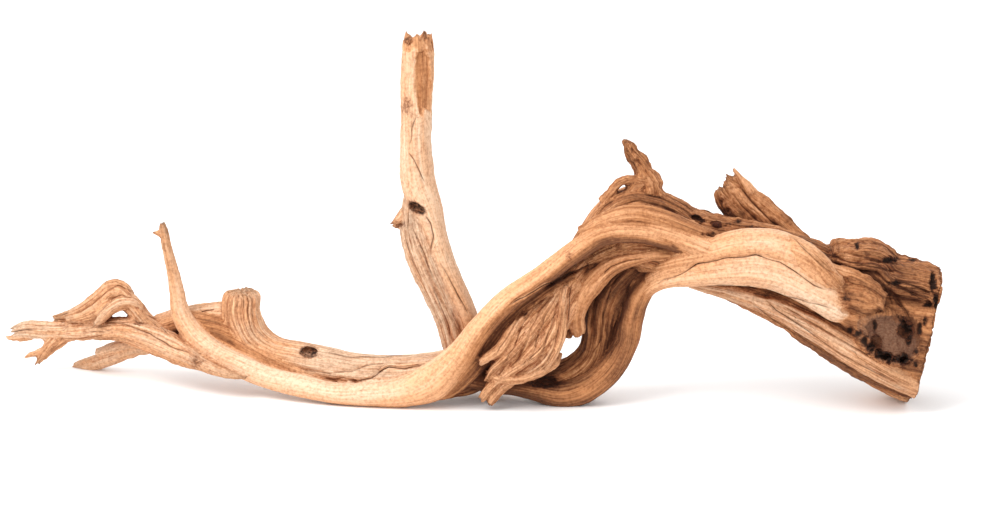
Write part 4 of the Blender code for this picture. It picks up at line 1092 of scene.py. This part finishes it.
def mark_patch(marks, front, patch):
    """Adds one patch, which is lower or higher than the skin round it, and browner."""
    inside, rim = in_outline(front.places + front.wobble[:, None] * OUTLINE_WANDER, patch.outline)
    picked = front.picked(inside, patch.strands)
    marks.depth[picked] += patch.depth * eased(rim[picked] / PATCH_EDGE)
    marks.tint[picked] = patch.tone


def marked(points, normals, skin, grown):
    """All cracks, pits, patches and hollows, as marks at each point."""
    count = len(points)
    marks = Marks(
        np.zeros(count), np.full(count, CRACK_REACH), np.zeros(count), in_hollows(points), np.zeros(count))
    front = Front(points, normals, skin.owner, grown)
    for crack in CRACKS:
        mark_crack(marks, front, crack)
    for pit in PITS:
        mark_pit(marks, front, pit)
    for patch in PATCHES:
        mark_patch(marks, front, patch)
    return marks


def in_outline(places, outline):
    """Which places lie in a closed outline, and how far each is from its edge."""
    ring = np.array([*outline, outline[0]], float)
    inside = np.zeros(len(places), bool)
    for a, b in zip(ring, ring[1:]):
        if a[1] == b[1]:
            continue
        level = (a[1] > places[:, 1]) != (b[1] > places[:, 1])
        x = a[0] + (places[:, 1] - a[1]) / (b[1] - a[1]) * (b[0] - a[0])
        inside ^= level & (places[:, 0] < x)
    rim, _ = line_gap(places, ring)
    return inside, np.abs(rim)


def in_hollows(points):
    """How rotten each point is for the hollow that it lies in, over 0 inside."""
    rot = np.full(len(points), -1.0)
    for hollow in HOLLOWS.values():
        gap = points + ORIGIN - hollow.centre
        turn = np.array(Euler([math.radians(angle) for angle in hollow.turn]).to_matrix())
        r = np.linalg.norm((gap @ turn) / (np.array(hollow.widths) / 2), axis=1)
        rot = np.maximum(rot, hollow.shade * np.clip((1.15 - r) * 3, -1, 1))
    return rot


def even_rays():
    """Directions that are spread evenly over a ball."""
    turn = np.arange(RAYS) * math.pi * (3 - math.sqrt(5))
    height = 1 - 2 * (np.arange(RAYS) + 0.5) / RAYS
    flat = np.sqrt(1 - height**2)
    return np.stack([flat * np.cos(turn), flat * np.sin(turn), height], axis=1)


def sheltered(wood, points, normals, edges):
    """How far the wood and the floor hide each place from the open air and the sun, from 0 to 1."""
    tree = BVHTree.FromPolygons(
        (points * MM).tolist(), [tuple(face.vertices) for face in wood.data.polygons])
    rays = even_rays()
    facing = normals @ rays.T
    weight = np.where(facing > GRAZING, facing * (1 + FROM_ABOVE * rays[:, 2]), 0)
    floor = np.where(rays[:, 2] < -0.05, points[:, 2:] / np.maximum(-rays[:, 2], 0.05), np.inf)
    hidden = np.where(floor < SHELTER_REACH, FLOOR_HIDES, 0.0)
    starts = ((points + normals * RAY_START) * MM).tolist()
    directions = [Vector(ray) for ray in rays]
    reach = SHELTER_REACH * MM

    # Half the points look along the even rays and half along the odd ones, and neighbours are averaged
    used = np.zeros((len(points), RAYS))
    used[0::2, 0::2] = 1
    used[1::2, 1::2] = 1
    for i, start in enumerate(starts):
        for j in range(i % 2, RAYS, 2):
            if weight[i, j] and tree.ray_cast(start, directions[j], reach)[0] is not None:
                hidden[i, j] = 1
    weight *= used
    share = (hidden * weight).sum(axis=1) / np.maximum(weight.sum(axis=1), 1e-9)
    return relaxed(share[:, None], edges, 4)[:, 0]


def mesh_arrays(mesh):
    """Vertex places in mm, normals, and edges."""
    points = np.empty(len(mesh.vertices) * 3)
    mesh.vertices.foreach_get("co", points)
    normals = np.empty(len(mesh.vertices) * 3, np.float32)
    mesh.vertex_normals.foreach_get("vector", normals)
    edges = np.empty(len(mesh.edges) * 2, int)
    mesh.edges.foreach_get("vertices", edges)
    return points.reshape(-1, 3) / MM, normals.reshape(-1, 3).astype(float), edges.reshape(-1, 2)


def relaxed(values, edges, rounds):
    """Each value replaced by the mean of its neighbours, as many times as rounds."""
    count = len(values)
    a, b = edges.T
    ties = np.bincount(a, minlength=count) + np.bincount(b, minlength=count)
    ties = np.maximum(ties, 1)[:, None]
    for _ in range(rounds):
        columns = [
            np.bincount(a, weights=column[b], minlength=count)
            + np.bincount(b, weights=column[a], minlength=count)
            for column in values.T
        ]
        values = np.stack(columns, axis=1) / ties
    return values


def on_saw_face(points):
    """How near each point is to the sawn face, from 0 to 1."""
    gap = (points + ORIGIN - SAW_POINT) @ np.array(saw_outward())
    return eased(1 + gap / SAW_EDGE)


def saw_grain(points):
    """Grain coordinates on the sawn face, round the pith."""
    gap = points + ORIGIN - PITH
    return np.stack([gap[:, 0] * 0, gap[:, 1], gap[:, 2]], axis=1)


def melt_creases(wood, grown, settings):
    """Fills the creases where strands have grown together, and leaves what stands out as it is."""
    points, normals, edges = mesh_arrays(wood.data)
    skin = grow_skin(points, grown)
    sawn = on_saw_face(points)
    soft = relaxed(points, edges, settings.melt)
    rise = ((soft - points) * normals).sum(axis=1)
    open_wood = eased(-in_hollows(points))
    lift = np.clip(rise, 0, MOST_FILL) * skin.melt * (1 - sawn) * open_wood * eased(points[:, 2] / 2)
    place_vertices(wood, points + normals * lift[:, None])


def place_vertices(wood, points):
    """Moves the wood's vertices to the points, which are in mm."""
    wood.data.vertices.foreach_set("co", (points * MM).ravel())
    wood.data.update()


def saw_relief(points):
    """Relief of the sawn face in mm: checks that run out from the pith, and the marks of the saw."""
    spokes = saw_grain(points)
    angle = np.arctan2(spokes[:, 2], spokes[:, 1])
    radius = np.hypot(spokes[:, 1], spokes[:, 2])
    check = noise_at(np.stack([np.cos(angle) * 5, np.sin(angle) * 5, radius / 50], axis=1))
    return -1.4 * trough(check, 0.09) * eased(radius / 12) - 0.25 * noise_at(points / (3, 3, 1.2))


def keep_fine(wood, marks):
    """Names the vertices at the cracks and at the rims of holes, where the triangles are to stay small."""
    at_crack = (np.abs(marks.gap) < 1.6) & (marks.crack > 0.1)
    at_rim = (marks.rot > -0.1) & (marks.rot < 0.6)
    fine = np.nonzero(at_crack | at_rim)[0]
    wood.vertex_groups.new(name=FINE).add(fine.tolist(), 1.0, "REPLACE")


def raise_relief(wood, grown, settings):
    """Moves the skin's vertices: grain, lumps, cracks, pits, broken patches and frayed ends."""
    points, normals, _ = mesh_arrays(wood.data)
    skin = grow_skin(points, grown)
    sawn = on_saw_face(points)
    worn = eased((points[:, 2] - RELIEF_FROM) / RELIEF_RISE)
    small = 1.3 * noise_at(points / 8 + 40) + 0.7 * noise_at(points / 3.7 + 11)
    lumps = 0.9 * noise_at(points / 27) + skin.rough * small
    marks = marked(points, normals, skin, grown)
    keep_fine(wood, marks)
    height = (skin.relief + lumps) * (1 - sawn) - marks.depth + sawn * saw_relief(points)
    moved = points + normals * (height * worn * settings.relief)[:, None]
    moved += frayed_shift(skin, grown) * (settings.relief * worn * (1 - sawn))[:, None]
    moved[:, 2] = np.maximum(moved[:, 2], 0)
    place_vertices(wood, moved)


def thin_out(wood, most):
    """Fewer triangles, with the finest ones kept at the cracks and pits."""
    triangles = sum(len(face.vertices) - 2 for face in wood.data.polygons)
    if triangles > most:
        fewer = wood.modifiers.new("fewer", "DECIMATE")
        fewer.ratio = most / triangles
        fewer.vertex_group = FINE
        fewer.invert_vertex_group = True
        apply_modifiers(wood)


def corner_grain(mesh, points, skin, sawn, grown):
    """Grain coordinates at the corners of each face, all from the strand that the face lies on."""
    corners = np.empty(len(mesh.loops), int)
    mesh.loops.foreach_get("vertex_index", corners)
    first, sizes = np.empty((2, len(mesh.polygons)), int)
    mesh.polygons.foreach_get("loop_start", first)
    mesh.polygons.foreach_get("loop_total", sizes)
    owner = np.repeat(skin.owner[corners[first]], sizes)
    grain = skin.grain[corners]
    mixed = owner != skin.owner[corners]
    for number in np.unique(owner[mixed]):
        picked = np.nonzero(mixed & (owner == number))[0]
        grain[picked] = grown[number].place(points[corners[picked]])[0]
    on_face = np.repeat(sawn[corners[first]] > 0.5, sizes)
    return np.where(on_face[:, None], saw_grain(points[corners]), grain)


def rope_flank_shade(points, normals, skin, grown):
    """How far each place lies on the lower flank of the pale rope, which is painted browner as shade, from 0
    to 1, less along the floor.
    """
    rope = np.isin(skin.owner, numbers_of("ridge", grown))
    steep = eased((0.28 - normals[:, 2]) / 0.75)
    return rope * steep * (0.3 + 0.7 * eased((points[:, 0] + 20) / 60))


def add_looks(wood, grown):
    """Writes what the finish reads: the grain's coordinates, and tone, darkness and end grain, with painted
    shade in hollows, creases and under overhangs.
    """
    mesh = wood.data
    points, normals, edges = mesh_arrays(mesh)
    skin = grow_skin(points, grown)
    marks = marked(points, normals, skin, grown)
    shelter = sheltered(wood, points, normals, edges)
    near = relaxed(points, edges, 4)
    wide = relaxed(near, edges, 40)
    crease = ((near - points) * normals).sum(axis=1)
    valley_shade = ((wide - points) * normals).sum(axis=1)
    end = eased((np.abs((normals * skin.along).sum(axis=1)) - 0.75) / 0.2)
    end[np.isin(skin.owner, numbers_of("limb low_branch low_strip", grown))] = 0
    sawn = on_saw_face(points)
    # Grime and painted shade: darker in the grain's grooves, in the creases between strands and beside cracks
    dirt = 0.45 * skin.groove * skin.wear + 0.6 * eased(crease / 0.9) * skin.wear
    dirt += 0.25 * marks.crack * trough(marks.gap, 1.6)
    # Painted shade, with some real weathering: browner where the wood and the floor hide a place, and in broad
    # hollows
    tone = skin.tone + 0.4 * eased((shelter - 0.35) / 0.5) + 0.12 * eased(valley_shade / 6) * skin.wear
    # Paler on small ridges, where the weather has worn it, and paler on top and browner underneath, as painted
    # shade with some sun bleaching
    tone += marks.tint - (0.02 + 0.07 * skin.wear) * eased(-crease / 0.4) - 0.1 * normals[:, 2]
    # Painted shade on the rope's lower flank, under its overhang
    tone += 0.5 * rope_flank_shade(points, normals, skin, grown)
    tone = np.where(sawn > 0.5, SAWN_TONE, tone)
    attributes = {
        "looks": np.stack([tone, np.clip(dirt, 0, 1), np.maximum(end, sawn)], axis=1),
        "marks": np.stack([marks.gap, marks.crack, marks.rot], axis=1),
        # weather holds the wear, how hidden each place is, which darkens it as painted shade, and the sawn
        # face
        "weather": np.stack([skin.wear, shelter, sawn], axis=1),
    }
    for name, values in attributes.items():
        attribute = mesh.attributes.new(name, "FLOAT_VECTOR", "POINT")
        attribute.data.foreach_set("vector", values.astype(np.float32).ravel())
    grain = corner_grain(mesh, points, skin, sawn, grown)
    attribute = mesh.attributes.new("grain", "FLOAT_VECTOR", "CORNER")
    attribute.data.foreach_set("vector", grain.astype(np.float32).ravel())


class NodeRow:
    """Adds nodes to a material, each with its inputs set or linked."""

    def __init__(self, tree):
        self.tree = tree

    def add(self, kind, inputs=(), **settings):
        """A node with its settings made, and each input set to a value or linked to a socket."""
        node = self.tree.nodes.new(kind)
        for key, value in settings.items():
            setattr(node, key, value)
        for key, value in dict(inputs).items():
            if isinstance(value, bpy.types.NodeSocket):
                self.tree.links.new(value, node.inputs[key])
            else:
                node.inputs[key].default_value = value
        return node

    def maths(self, operation, a, b=0.0, clamp=False):
        """The result of one operation on a and b."""
        return self.add("ShaderNodeMath", {0: a, 1: b}, operation=operation, use_clamp=clamp).outputs[0]

    def noise(self, vector, scale, detail=3.0, roughness=0.6):
        """Noise on a vector whose parts are first multiplied by scale."""
        scaled = self.add("ShaderNodeVectorMath", {0: vector, 1: scale}, operation="MULTIPLY").outputs[0]
        made = self.add("ShaderNodeTexNoise", {
            "Vector": scaled, "Scale": 1.0, "Detail": detail, "Roughness": roughness})
        return made.outputs["Fac"]

    def parts(self, name):
        """The three parts of an attribute of the mesh."""
        vector = self.add("ShaderNodeAttribute", attribute_name=name).outputs["Vector"]
        return self.add("ShaderNodeSeparateXYZ", {0: vector}).outputs

    def thin_lines(self, vector, scale, width):
        """1 on the thin lines where noise crosses its middle value, and 0 away from them."""
        off = self.maths("ABSOLUTE", self.maths("SUBTRACT", self.noise(vector, scale, 1.0, 0.4), 0.5))
        return self.spread(off, 0.0, width, 1.0, 0.0)

    def spread(self, value, low, high, to_low=0.0, to_high=1.0):
        """The value with the range from low to high spread over another one, and held inside it."""
        return self.add("ShaderNodeMapRange", {
            "Value": value, "From Min": low, "From Max": high, "To Min": to_low, "To Max": to_high,
        }).outputs[0]

    def mixed(self, share, a, b, blend="MIX"):
        """The colour a with a share of b mixed in or multiplied in."""
        node = self.add("ShaderNodeMix", data_type="RGBA", blend_type=blend)
        for index, value in ((0, share), (6, a), (7, b)):
            if isinstance(value, bpy.types.NodeSocket):
                self.tree.links.new(value, node.inputs[index])
            else:
                node.inputs[index].default_value = value
        return node.outputs[2]


def rgba(colour):
    """The colour with a full alpha."""
    return (*colour, 1.0)


class WoodNodes(NodeRow):
    """The nodes of bleached, sandblasted wood. Noises on the grain are drawn out along each strand."""

    def __init__(self, tree, settings):
        super().__init__(tree)
        self.settings = settings
        self.grain = self.add("ShaderNodeAttribute", attribute_name="grain").outputs["Vector"]
        self.tone, self.dirt, self.end = self.parts("looks")
        self.gap, self.crack, self.rot = self.parts("marks")
        self.wear, self.shelter, _ = self.parts("weather")
        place = self.add("ShaderNodeTexCoord").outputs["Object"]
        self.broad = self.noise(self.grain, (0.014, 0.16, 0.16), 3.0)
        self.streak = self.noise(self.grain, (0.014, 0.62, 0.62), 2.5, 0.5)
        self.fibre = self.noise(self.grain, (0.03, 2.2, 2.2), 2.0, 0.5)
        self.stain = self.noise(place, (38, 38, 38), 3.0, 0.5)
        self.speck = self.noise(place, (420, 420, 420), 2.0, 0.6)
        self.fleck = self.noise(self.grain, (0.22, 1.5, 1.5), 2.0, 0.5)
        self.checks = self.weather_checks()

    def swing(self, noise, most):
        """The noise as a swing round 0, by most either way."""
        return self.spread(noise, 0.3, 0.7, -most, most)

    def total(self, value, *others):
        """The sum of all values."""
        for other in others:
            value = self.maths("ADD", value, other)
        return value

    def by_wear(self, value, sound, worn, low=0.0, high=1.0):
        """The value times sound where the wear is low, and times worn where it is high."""
        return self.maths("MULTIPLY", value, self.spread(self.wear, low, high, sound, worn))

    def weather_checks(self):
        """Where thin dark lines run with the grain, with finer ones between them."""
        check = self.thin_lines(self.grain, (0.012, 0.34, 0.34), 0.04)
        hair = self.thin_lines(self.grain, (0.02, 0.85, 0.85), 0.06)
        checks = self.maths("MAXIMUM", check, self.maths("MULTIPLY", hair, 0.65))
        return self.maths("MULTIPLY", checks, self.spread(self.broad, 0.35, 0.6, 0.4, 1.0))

    def base_colour(self):
        """Bleached, tan, brown or red-brown wood by its tone, which swings with the grain."""
        swing = self.total(
            self.swing(self.broad, 0.2), self.swing(self.streak, 0.2),
            self.swing(self.stain, 0.16), self.swing(self.speck, 0.02))
        toned = self.maths("ADD", self.tone, self.by_wear(swing, 0.45, 1.0))
        toned = self.maths("MULTIPLY", toned, 1 / DARKEST_TONE, clamp=True)
        ramp = self.add("ShaderNodeValToRGB", {0: toned})
        stops = ramp.color_ramp.elements
        stops[0].position, stops[0].color = 0.0, rgba(self.settings.pale)
        stops[1].position, stops[1].color = 1.0, rgba(self.settings.rust)
        for at, colour in ((TAN_AT, self.settings.tan), (BROWN_AT, self.settings.brown)):
            stops.new(at).color = rgba(colour)
        return ramp.outputs[0]

    def lined(self, colour):
        """The colour with weather checks, finer fibres between them, and dark flecks."""
        checks = self.by_wear(self.checks, 0.07, 0.62, 0.1, 0.9)
        colour = self.mixed(checks, colour, CHECK_STAIN, "MULTIPLY")
        fibres = self.by_wear(self.spread(self.fibre, 0.42, 0.62), 0.03, 0.26)
        colour = self.mixed(fibres, colour, FIBRE_STAIN, "MULTIPLY")
        flecks = self.by_wear(self.spread(self.fleck, 0.66, 0.74), 0.0, 0.4, 0.3, 1.0)
        return self.mixed(flecks, colour, FLECK_STAIN, "MULTIPLY")

    def ringed(self, colour):
        """The colour with darker rings round the pith on end grain."""
        flat = self.add("ShaderNodeVectorMath", {0: self.grain, 1: (0, 1, 1)}, operation="MULTIPLY")
        radius = self.add("ShaderNodeVectorMath", {0: flat.outputs[0]}, operation="LENGTH").outputs["Value"]
        bend = self.spread(self.noise(self.grain, (0.1, 0.16, 0.16)), 0, 1, -3, 3)
        waves = self.maths("SINE", self.maths("MULTIPLY", self.maths("ADD", radius, bend), 2.4))
        stained = self.spread(self.stain, 0.35, 0.65, 0.0, 0.6)
        dark = self.maths("ADD", self.spread(waves, -1, 1, 0.0, 0.3), stained, clamp=True)
        rings = self.mixed(dark, RING_LIGHT, RING_DARK)
        return self.mixed(self.maths("MULTIPLY", self.end, 0.6), colour, rings)

    def dirtied(self, colour):
        """The colour with painted shade in what is sheltered, and with grime and painted shade in the grooves
        and creases.
        """
        # Painted shade, with some real weathering, where the wood and the floor hide a place
        hidden = self.spread(self.shelter, 0.3, 0.9, 0.0, 0.75)
        hidden = self.maths("MULTIPLY", hidden, self.spread(self.streak, 0.3, 0.7, 0.85, 1.1))
        colour = self.mixed(hidden, colour, SHELTER_SHADE_STAIN, "MULTIPLY")
        # Grime and painted shade in the grooves and creases
        ragged = self.maths("ADD", self.dirt, self.spread(self.streak, 0.35, 0.65, -0.12, 0.12))
        return self.mixed(self.spread(ragged, 0.12, 0.9, 0.0, 0.8), colour, DIRT_AND_SHADE_STAIN, "MULTIPLY")

    def cracked(self, colour):
        """The colour with dark cracks, and with rot in pits and hollows."""
        thin = self.spread(self.maths("ABSOLUTE", self.gap), 0.15, 0.65, 0.9, 0.0)
        colour = self.mixed(self.maths("MULTIPLY", thin, self.crack, clamp=True), colour, CRACK_COLOUR)
        rotten = self.total(self.rot, self.swing(self.speck, 0.22), self.swing(self.streak, 0.1))
        colour = self.mixed(self.spread(rotten, -0.35, 0.1, 0.0, 0.6), colour, ROT_STAIN, "MULTIPLY")
        return self.mixed(self.spread(rotten, 0.0, 0.5, 0.0, 0.95), colour, rgba(self.settings.rot))

    def bump(self):
        """A bump in which streaks, fibres and specks stand up and weather checks lie low."""
        height = self.total(
            self.by_wear(self.streak, 0.5, 1.8), self.by_wear(self.fibre, 0.2, 0.9),
            self.by_wear(self.speck, 0.02, 0.3))
        height = self.maths("SUBTRACT", height, self.by_wear(self.checks, 0.15, 1.2, 0.1, 0.9))
        made = self.add("ShaderNodeBump", {"Strength": 0.8, "Distance": MM, "Height": height})
        return made.outputs[0]


def weathered_wood(settings):
    """Bleached, sandblasted wood: its colour and bump follow the grain of each strand."""
    wood = bpy.data.materials.new("weathered vine wood")
    wood.use_nodes = True
    tree = wood.node_tree
    nodes = WoodNodes(tree, settings)
    colour = nodes.ringed(nodes.lined(nodes.base_colour()))
    colour = nodes.cracked(nodes.dirtied(colour))
    shader = tree.nodes["Principled BSDF"]
    shader.inputs["Specular IOR Level"].default_value = 0.25
    tree.links.new(colour, shader.inputs["Base Color"])
    tree.links.new(nodes.spread(nodes.tone, 0.0, 1.0, 0.62, 0.9), shader.inputs["Roughness"])
    tree.links.new(nodes.bump(), shader.inputs["Normal"])
    return wood


def aimed(thing, place, target):
    """Puts a lamp or a camera in its place and points it at the target."""
    thing.location = place
    thing.rotation_euler = (Vector(target) - Vector(place)).to_track_quat("-Z", "Y").to_euler()


def add_area_light(name, light, watts):
    """A round area light that points at the middle of the frame."""
    place, size, colour = light
    lamp = bpy.data.lights.new(name, "AREA")
    lamp.shape = "DISK"
    lamp.size = size
    lamp.energy = watts
    lamp.color = colour
    made = bpy.data.objects.new(name, lamp)
    bpy.context.scene.collection.objects.link(made)
    aimed(made, place, Vector(AIM) * MM)


def plain_material(name, colour, roughness):
    """A material of one colour."""
    made = bpy.data.materials.new(name)
    made.use_nodes = True
    shader = made.node_tree.nodes["Principled BSDF"]
    shader.inputs["Base Color"].default_value = rgba(colour)
    shader.inputs["Roughness"].default_value = roughness
    return made


class DRIFTWOOD_OT_grow_wood(bpy.types.Operator):
    """Grows the whole piece of wood over its CAD solid"""

    bl_idname = "driftwood.grow_wood"
    bl_label = "Grow the Wood"
    bl_options = {"REGISTER", "UNDO"}

    def execute(self, context):
        settings = context.scene.driftwood_wood
        grown = [GrownStrand(name, strand, i) for i, (name, strand) in enumerate(STRANDS.items())]
        wood = fused_skin(grown, settings)
        melt_creases(wood, grown, settings)
        raise_relief(wood, grown, settings)
        thin_out(wood, settings.most_faces)
        add_looks(wood, grown)
        wood.data.materials.clear()
        wood.data.materials.append(weathered_wood(settings))
        wood.data.shade_smooth()
        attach(wood, "root")
        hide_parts(NODE)
        return {"FINISHED"}


class DRIFTWOOD_OT_lay_stage(bpy.types.Operator):
    """Lays out the pale floor, the soft lights, the white surround and the camera"""

    bl_idname = "driftwood.lay_stage"
    bl_label = "Lay Out the Stage"
    bl_options = {"REGISTER", "UNDO"}

    def execute(self, context):
        scene, settings = context.scene, context.scene.driftwood_stage
        bm = bmesh.new()
        bmesh.ops.create_grid(bm, x_segments=1, y_segments=1, size=settings.floor_size / 2)
        floor = new_object(bm, "floor")
        floor.data.materials.append(plain_material("pale floor", settings.floor, 0.7))
        add_area_light("key light", KEY_LIGHT, settings.key)
        add_area_light("fill light", FILL_LIGHT, settings.fill)

        world = bpy.data.worlds.new("white surround")
        world.use_nodes = True
        surround = world.node_tree.nodes["Background"]
        surround.inputs["Color"].default_value = (1, 1, 1, 1)
        surround.inputs["Strength"].default_value = settings.sky
        scene.world = world

        lens = bpy.data.cameras.new("camera")
        lens.sensor_width = 36.0
        lens.lens = FOCAL_PX * lens.sensor_width / FRAME_SIZE[0]
        lens.clip_end = 100.0
        camera = bpy.data.objects.new("camera", lens)
        scene.collection.objects.link(camera)
        target = Vector(AIM) * MM
        tilt = settings.elevation
        aimed(camera, target + settings.distance * Vector((0, -math.cos(tilt), math.sin(tilt))), target)
        scene.camera = camera
        scene.view_settings.view_transform = "Standard"
        return {"FINISHED"}


class DRIFTWOOD_PT_panel(bpy.types.Panel):
    """Lists the steps and their settings in the 3D view's sidebar"""

    bl_label = "Driftwood"
    bl_idname = "DRIFTWOOD_PT_panel"
    bl_space_type = "VIEW_3D"
    bl_region_type = "UI"
    bl_category = "Driftwood"

    def draw(self, context):
        groups = (
            (context.scene.driftwood_wood, DRIFTWOOD_OT_grow_wood),
            (context.scene.driftwood_stage, DRIFTWOOD_OT_lay_stage),
        )
        for settings, operator in groups:
            box = self.layout.box()
            for name in settings.__annotations__:
                box.prop(settings, name)
            box.operator(operator.bl_idname)


CLASSES = (WoodSettings, StageSettings, DRIFTWOOD_OT_grow_wood, DRIFTWOOD_OT_lay_stage, DRIFTWOOD_PT_panel)


def register():
    """Adds the panel, its operators and their settings."""
    for cls in CLASSES:
        bpy.utils.register_class(cls)
    bpy.types.Scene.driftwood_wood = PointerProperty(type=WoodSettings)
    bpy.types.Scene.driftwood_stage = PointerProperty(type=StageSettings)


def unregister():
    """Takes away what register adds."""
    del bpy.types.Scene.driftwood_stage
    del bpy.types.Scene.driftwood_wood
    for cls in reversed(CLASSES):
        bpy.utils.unregister_class(cls)


def main():
    """Grows the wood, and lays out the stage."""
    register()
    bpy.ops.driftwood.grow_wood()
    bpy.ops.driftwood.lay_stage()
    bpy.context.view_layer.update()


if __name__ == "__main__":
    main()
